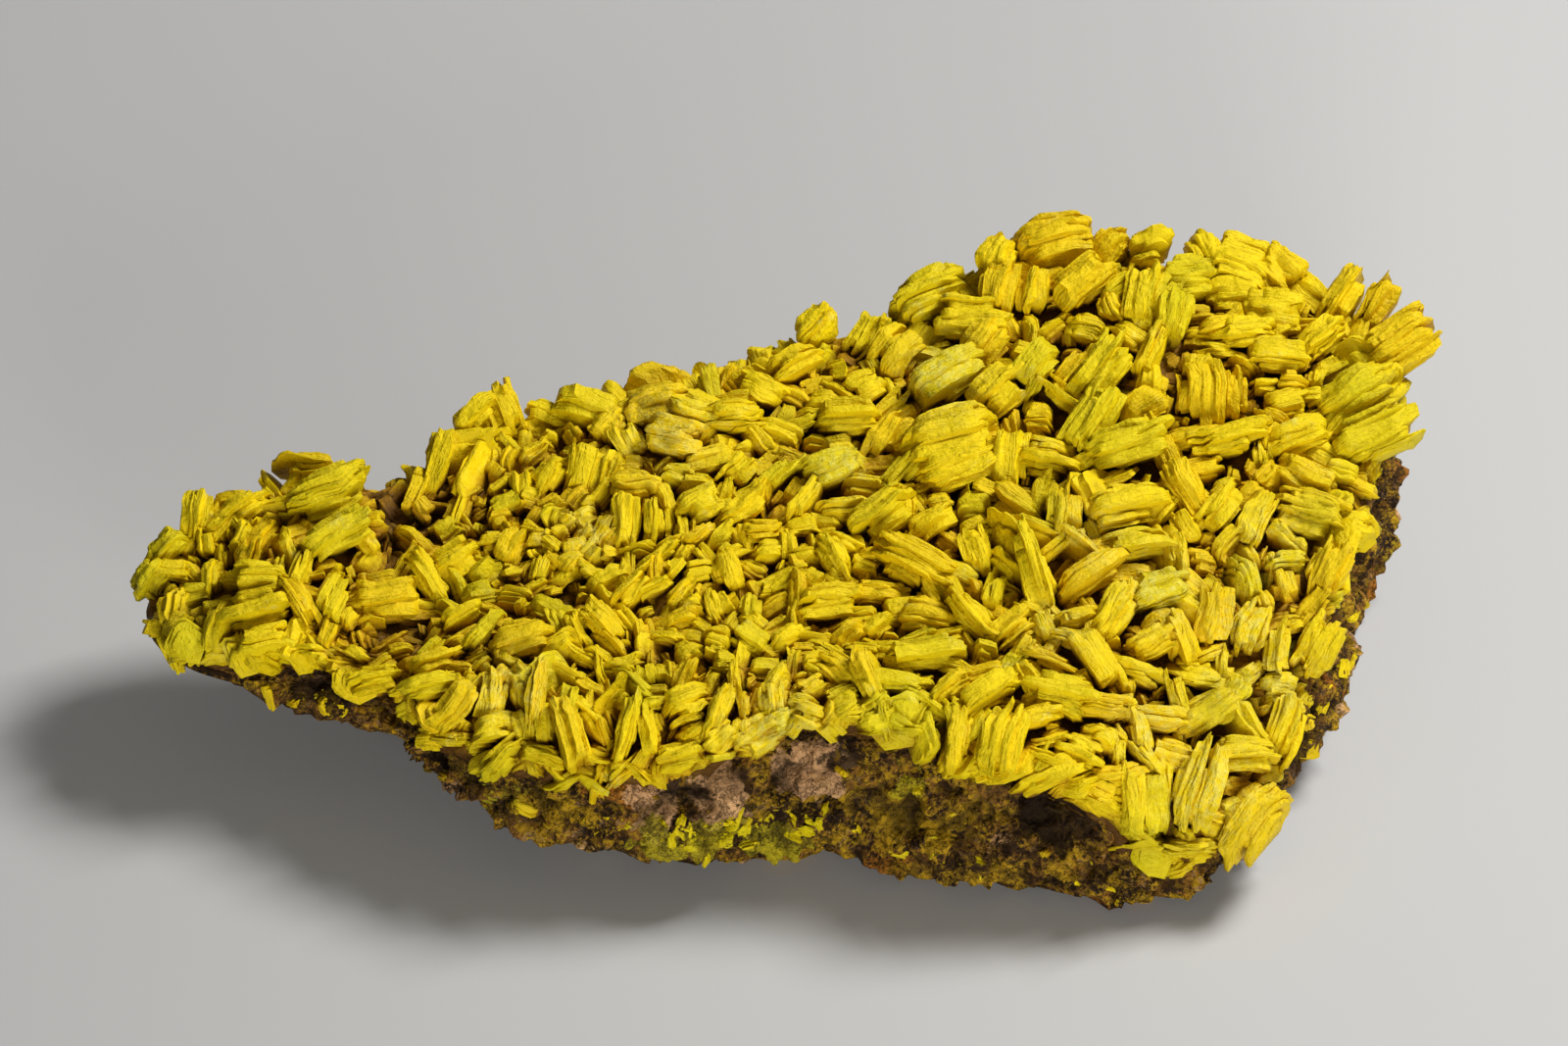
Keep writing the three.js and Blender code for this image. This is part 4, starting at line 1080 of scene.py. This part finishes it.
def rock_material(settings):
    """Rusty granite: brown grains with quartz, dark patches, ochre, rust stains, a yellow-green seam and
    painted shade in the hollows.
    """
    bench = NodeBench("rusty_granite")
    place = bench.place()
    coarse = bench.speckle(place, 200.0, 6.0, 0.65)
    medium = bench.speckle(place, 800.0, 6.0, 0.75)
    other = bench.speckle(bench.moved(place, (0.3, 0.1, 0.2)), 430.0, 6.0, 0.7)
    fine = bench.speckle(place, 2300.0, 4.0, 0.7)
    cells = bench.add("ShaderNodeTexVoronoi", {"Vector": place, "Scale": 1900.0}, feature="F1")
    speck = bench.add("ShaderNodeSeparateColor", {"Color": cells.outputs["Color"]}).outputs["Red"]
    mixed = bench.times(bench.plus(coarse, medium), 0.5)
    colour = bench.blend(bench.step(mixed, 0.45, 0.55), settings.dark_colour, settings.brown_colour)
    colour = bench.tint(colour, bench.step(other, 0.51, 0.6), 0.8, settings.ochre_colour)
    pale = bench.times(bench.step(speck, 0.8, 0.95), bench.step(medium, 0.45, 0.6))
    colour = bench.tint(colour, pale, 0.6, settings.tan_colour)
    golden = bench.times(bench.step(fine, 0.52, 0.57), bench.step(other, 0.42, 0.5))
    colour = bench.tint(colour, golden, 0.9, settings.ochre_colour)
    sooty = bench.times(bench.step(fine, 0.47, 0.42), bench.step(coarse, 0.62, 0.5))
    colour = bench.tint(colour, sooty, 0.8, settings.black_colour)
    ragged = bench.plus(bench.minus(medium, 0.5), bench.minus(fine, 0.5))
    ragged = bench.times(ragged, 1.5)
    paints = {
        "rust": settings.rust_colour, "ochre": settings.ochre_colour, "quartz": settings.quartz_colour,
        "seam": settings.seam_colour, "dark": settings.black_colour,
    }
    for kind, paint in paints.items():
        mask = bench.value(kind)
        reach = bench.plus(mask, bench.times(ragged, bench.step(mask, 0.02, 0.4)))
        colour = bench.tint(colour, bench.step(reach, 0.4, 0.66), 0.88, paint)
    crack = bench.speckle(bench.moved(place, (0.7, 0.5, 0.1)), 520.0, 6.0, 0.75)
    crack = bench.math("ABSOLUTE", bench.minus(crack, 0.5))
    grimy = bench.math("MAXIMUM", bench.step(crack, 0.03, 0.01), bench.step(other, 0.42, 0.36))
    colour = bench.tint(colour, grimy, 0.75, settings.black_colour)
    joint = bench.step(bench.plus(bench.value("joint"), bench.times(fine, 0.3)), 0.6, 0.95)
    colour = bench.tint(colour, joint, 0.6, settings.dark_colour)
    # Painted shade: black where the relief is pushed in.
    hollow = bench.step(bench.value("relief"), 0.0, -1.3)
    colour = bench.tint(colour, hollow, 0.7, settings.black_colour)
    glint = bench.step(speck, 0.94, 0.97)
    rough = bench.minus(0.8, bench.times(glint, 0.6))
    bump = bench.bump(cells.outputs["Distance"], 0.8, 0.0006)
    bump = bench.bump(medium, 0.7, 0.0008, bump)
    bump = bench.bump(fine, 0.8, 0.0004, bump)
    shine = {"Roughness": rough, "Specular IOR Level": ROCK_SPECULAR}
    return bench.finish({"Base Color": colour, "Normal": bump, **shine})


def floor_material(colour):
    """A plain pale floor with a faint unevenness."""
    bench = NodeBench("pale_floor")
    cloud = bench.speckle(bench.place(), 6.0)
    dim = tuple(0.97 * channel for channel in colour)
    return bench.finish({"Base Color": bench.blend(cloud, dim, colour), "Roughness": 0.6})


def colour_property(name, description, default):
    """A colour that a user would change."""
    return bpy.props.FloatVectorProperty(
        name=name, description=description, default=default, size=3, subtype="COLOR", min=0, max=1,
    )


def number_property(name, description, default, **limits):
    """A number that a user would change."""
    return bpy.props.FloatProperty(name=name, description=description, default=default, **limits)


class RockSettings(bpy.types.PropertyGroup):
    """Sizes and colours of the granite."""

    relief: number_property("Relief", "Strength of the broken relief, 1 as built", 1.0, min=0, max=2)
    dark_colour: colour_property("Dark brown", "Colour of the darker grains", (0.045, 0.02, 0.006))
    brown_colour: colour_property("Brown", "Colour of most grains", (0.35, 0.16, 0.022))
    tan_colour: colour_property("Tan", "Colour of the pale grains", (0.42, 0.27, 0.14))
    rust_colour: colour_property("Rust", "Colour of the rust stains", (0.42, 0.15, 0.016))
    ochre_colour: colour_property("Ochre", "Colour of the ochre crumbs", (0.55, 0.32, 0.01))
    quartz_colour: colour_property("Quartz", "Colour of the quartz and feldspar", (0.78, 0.44, 0.2))
    seam_colour: colour_property("Seam", "Colour of the yellow-green seam", (0.5, 0.4, 0.012))
    # Black is also the painted shade in the rock's hollows.
    black_colour: colour_property("Black", "Colour of the dark patches and hollows", (0.012, 0.006, 0.002))


class CrystalSettings(bpy.types.PropertyGroup):
    """Sizes and colours of the crystals."""

    growth: number_property("Growth", "Size of picked books against their seen edges", 1.04, min=0.8, max=1.3)
    leaf: number_property("Tablet", "Thickness of one tablet in millimetres", 0.38, min=0.2, max=1)
    spacing: number_property("Spacing", "Room round a book against its own size", 0.76, min=0.4, max=1.5)
    bed_relief: number_property("Bed relief", "Strength of the bed's crumbs, 1 as built", 1.0, min=0, max=2)
    lemon_colour: colour_property("Lemon", "Colour of the tips", (0.74, 0.55, 0.002))
    gold_colour: colour_property("Gold", "Colour of the warmer books", (0.72, 0.46, 0.002))
    green_colour: colour_property("Green", "Colour of the fresher books", (0.4, 0.42, 0.006))
    # Amber is the painted shade between the books and the colour of the streaks; root is the painted shade at
    # the roots.
    amber_colour: colour_property("Amber", "Colour between the books", (0.38, 0.19, 0.004))
    root_shade_colour: colour_property("Root", "Colour at the roots", (0.08, 0.032, 0.003))
    pale_colour: colour_property("Pale", "Colour of the dusty patches", (0.68, 0.68, 0.2))


class StageSettings(bpy.types.PropertyGroup):
    """The floor, the light and the camera."""

    floor_colour: colour_property("Floor", "Colour of the floor", (0.46, 0.455, 0.445))
    distance: number_property("Distance", "Distance from the camera to the specimen", 1.5, unit="LENGTH")
    key_watts: number_property("Key light", "Power of the key light", 2.35, unit="POWER")
    fill_watts: number_property("Fill light", "Power of the fill light", 1.6, unit="POWER")


class SPECIMEN_OT_matrix(bpy.types.Operator):
    """Builds the granite plate"""

    bl_idname = "specimen.matrix"
    bl_label = "Granite matrix"

    def execute(self, context):
        settings = context.scene.specimen_rock
        rings, relief, grain_edge, masks = rock_surface(settings.relief)
        points, triangles = closed_rings(rings)
        values = {"relief": relief, "joint": grain_edge, **masks}
        values = {name: np.concatenate([value.ravel(), [0, 0]]) for name, value in values.items()}
        piece = write_mesh("granite_matrix", points, triangles, values)
        seat(piece, "matrix", rock_material(settings))
        return {"FINISHED"}


class SPECIMEN_OT_crust(bpy.types.Operator):
    """Builds the bed and the crystal books on it"""

    bl_idname = "specimen.crust"
    bl_label = "Crystal crust"

    def execute(self, context):
        settings = context.scene.specimen_crystal
        material = crystal_material(settings)
        self.bed(settings, material)
        books = join_books(picked_books(settings.growth), face_tablets())
        for throw in ((settings.spacing, *FIRST_THROW), *LATER_THROWS):
            books = join_books(books, filling_books(books, *throw))
        rock = rock_surface(context.scene.specimen_rock.relief)[0]
        books = join_books(books, rim_books(), crumb_books(rock))
        sink = picture_spots(books["centre"], HOLLOWS)
        books["centre"] = books["centre"] - sink[:, None] * face_normal(*books["centre"][:, :2].T)
        x, length = books["centre"][:, 0], books["length"]
        for seed, (name, least, most, low, high, columns) in enumerate(BOOK_PIECES, PIECE_SEED):
            inside = (length >= least) & (length < most) & (x >= low) & (x < high)
            chosen = {key: value[inside] for key, value in books.items()}
            piece = write_mesh(name, *stacked_books(chosen, settings.leaf, columns, seed), SHARP_DEGREES)
            seat(piece, "crystal_crust", material)
        return {"FINISHED"}

    def bed(self, settings, material):
        """The crumbly bed that the books grow from."""
        points, triangles = closed_rings(bed_surface(settings.bed_relief))
        over = points[:, 2] - face_height(points[:, 0], points[:, 1])
        count = len(points)
        # Painted shade: the bed stays deep in the root colour, lifting a little where it rises over the face.
        values = {
            "unshaded": BED_LOOK["root"] + BED_LOOK["unshaded"] * smoothstep(over, 0, BED_LOOK["unshaded_at"]),
            "tone": np.full(count, BED_LOOK["tone"]), "leaf": np.full(count, BED_LOOK["leaf"]),
            "dust": BED_LOOK["dust"] * picture_spots(points, PALE_SPOTS), "green": np.zeros(count),
        }
        piece = write_mesh("crystal_bed", points, triangles, values, points[:, [0, 2]])
        seat(piece, "crystal_crust", material)


class SPECIMEN_OT_stage(bpy.types.Operator):
    """Builds the floor, the light and the camera"""

    bl_idname = "specimen.stage"
    bl_label = "Stage"

    def execute(self, context):
        settings = context.scene.specimen_stage
        self.floor(settings)
        self.light("key_light", *KEY_LIGHT, settings.key_watts)
        self.light("fill_light", *FILL_LIGHT, settings.fill_watts)
        self.camera(settings)
        world = bpy.data.worlds.new("soft_room")
        world.use_nodes = True
        background = world.node_tree.nodes["Background"].inputs
        background["Color"].default_value = ROOM_COLOUR
        background["Strength"].default_value = ROOM_STRENGTH
        context.scene.world = world
        context.scene.view_settings.view_transform = "Standard"
        return {"FINISHED"}

    def floor(self, settings):
        """A wide flat floor at the specimen's foot."""
        half = FLOOR_HALF
        mesh = bpy.data.meshes.new("floor")
        corners = [(-half, -half, 0), (half, -half, 0), (half, half, 0), (-half, half, 0)]
        mesh.from_pydata(corners, [], [(0, 1, 2, 3)])
        floor = bpy.data.objects.new("floor", mesh)
        mesh.materials.append(floor_material(tuple(settings.floor_colour)))
        bpy.context.scene.collection.objects.link(floor)

    def light(self, name, place, size, watts):
        """A square soft light that points at the specimen."""
        data = bpy.data.lights.new(name, "AREA")
        data.size = size
        data.energy = watts
        lamp = bpy.data.objects.new(name, data)
        lamp.location = place
        lamp.rotation_euler = (Vector(LIGHT_AIM) - Vector(place)).to_track_quat("-Z", "Y").to_euler()
        bpy.context.scene.collection.objects.link(lamp)

    def camera(self, settings):
        """A long lens at the photograph's angle, aimed so that the origin lands on its pixel."""
        data = bpy.data.cameras.new("camera")
        data.sensor_width = SENSOR_WIDTH
        frame_width = PHOTO_SIZE[0] / PIXELS_PER_MM * MM
        data.lens = data.sensor_width * settings.distance / frame_width
        rise = (ORIGIN_PIXEL[1] - PHOTO_SIZE[1] / 2) / PIXELS_PER_MM * MM
        side = (PHOTO_SIZE[0] / 2 - ORIGIN_PIXEL[0]) / PIXELS_PER_MM * MM
        aim = Vector(UP * rise + RIGHT * side)
        camera = bpy.data.objects.new("camera", data)
        camera.location = aim + Vector(BACK) * settings.distance
        camera.rotation_euler = (-Vector(BACK)).to_track_quat("-Z", "Y").to_euler()
        data.clip_start, data.clip_end = CLIP_RANGE
        bpy.context.scene.collection.objects.link(camera)
        bpy.context.scene.camera = camera


class SPECIMEN_PT_panel(bpy.types.Panel):
    """Lists the steps and their settings"""

    bl_label = "Specimen"
    bl_idname = "SPECIMEN_PT_panel"
    bl_space_type = "VIEW_3D"
    bl_region_type = "UI"
    bl_category = "Specimen"

    def draw(self, context):
        scene = context.scene
        steps = (
            (SPECIMEN_OT_matrix, scene.specimen_rock), (SPECIMEN_OT_crust, scene.specimen_crystal),
            (SPECIMEN_OT_stage, scene.specimen_stage),
        )
        for step, settings in steps:
            box = self.layout.box()
            for key in settings.__annotations__:
                box.prop(settings, key)
            box.operator(step.bl_idname)


CLASSES = (
    RockSettings, CrystalSettings, StageSettings,
    SPECIMEN_OT_matrix, SPECIMEN_OT_crust, SPECIMEN_OT_stage, SPECIMEN_PT_panel,
)


def register():
    """Registers the classes and the scene's settings."""
    for cls in CLASSES:
        bpy.utils.register_class(cls)
    bpy.types.Scene.specimen_rock = bpy.props.PointerProperty(type=RockSettings)
    bpy.types.Scene.specimen_crystal = bpy.props.PointerProperty(type=CrystalSettings)
    bpy.types.Scene.specimen_stage = bpy.props.PointerProperty(type=StageSettings)


def unregister():
    """Removes the settings and the classes."""
    del bpy.types.Scene.specimen_stage
    del bpy.types.Scene.specimen_crystal
    del bpy.types.Scene.specimen_rock
    for cls in reversed(CLASSES):
        bpy.utils.unregister_class(cls)


def main():
    """Builds the specimen and the stage."""
    register()
    bpy.ops.specimen.matrix()
    bpy.ops.specimen.crust()
    bpy.ops.specimen.stage()


if __name__ == "__main__":
    main()
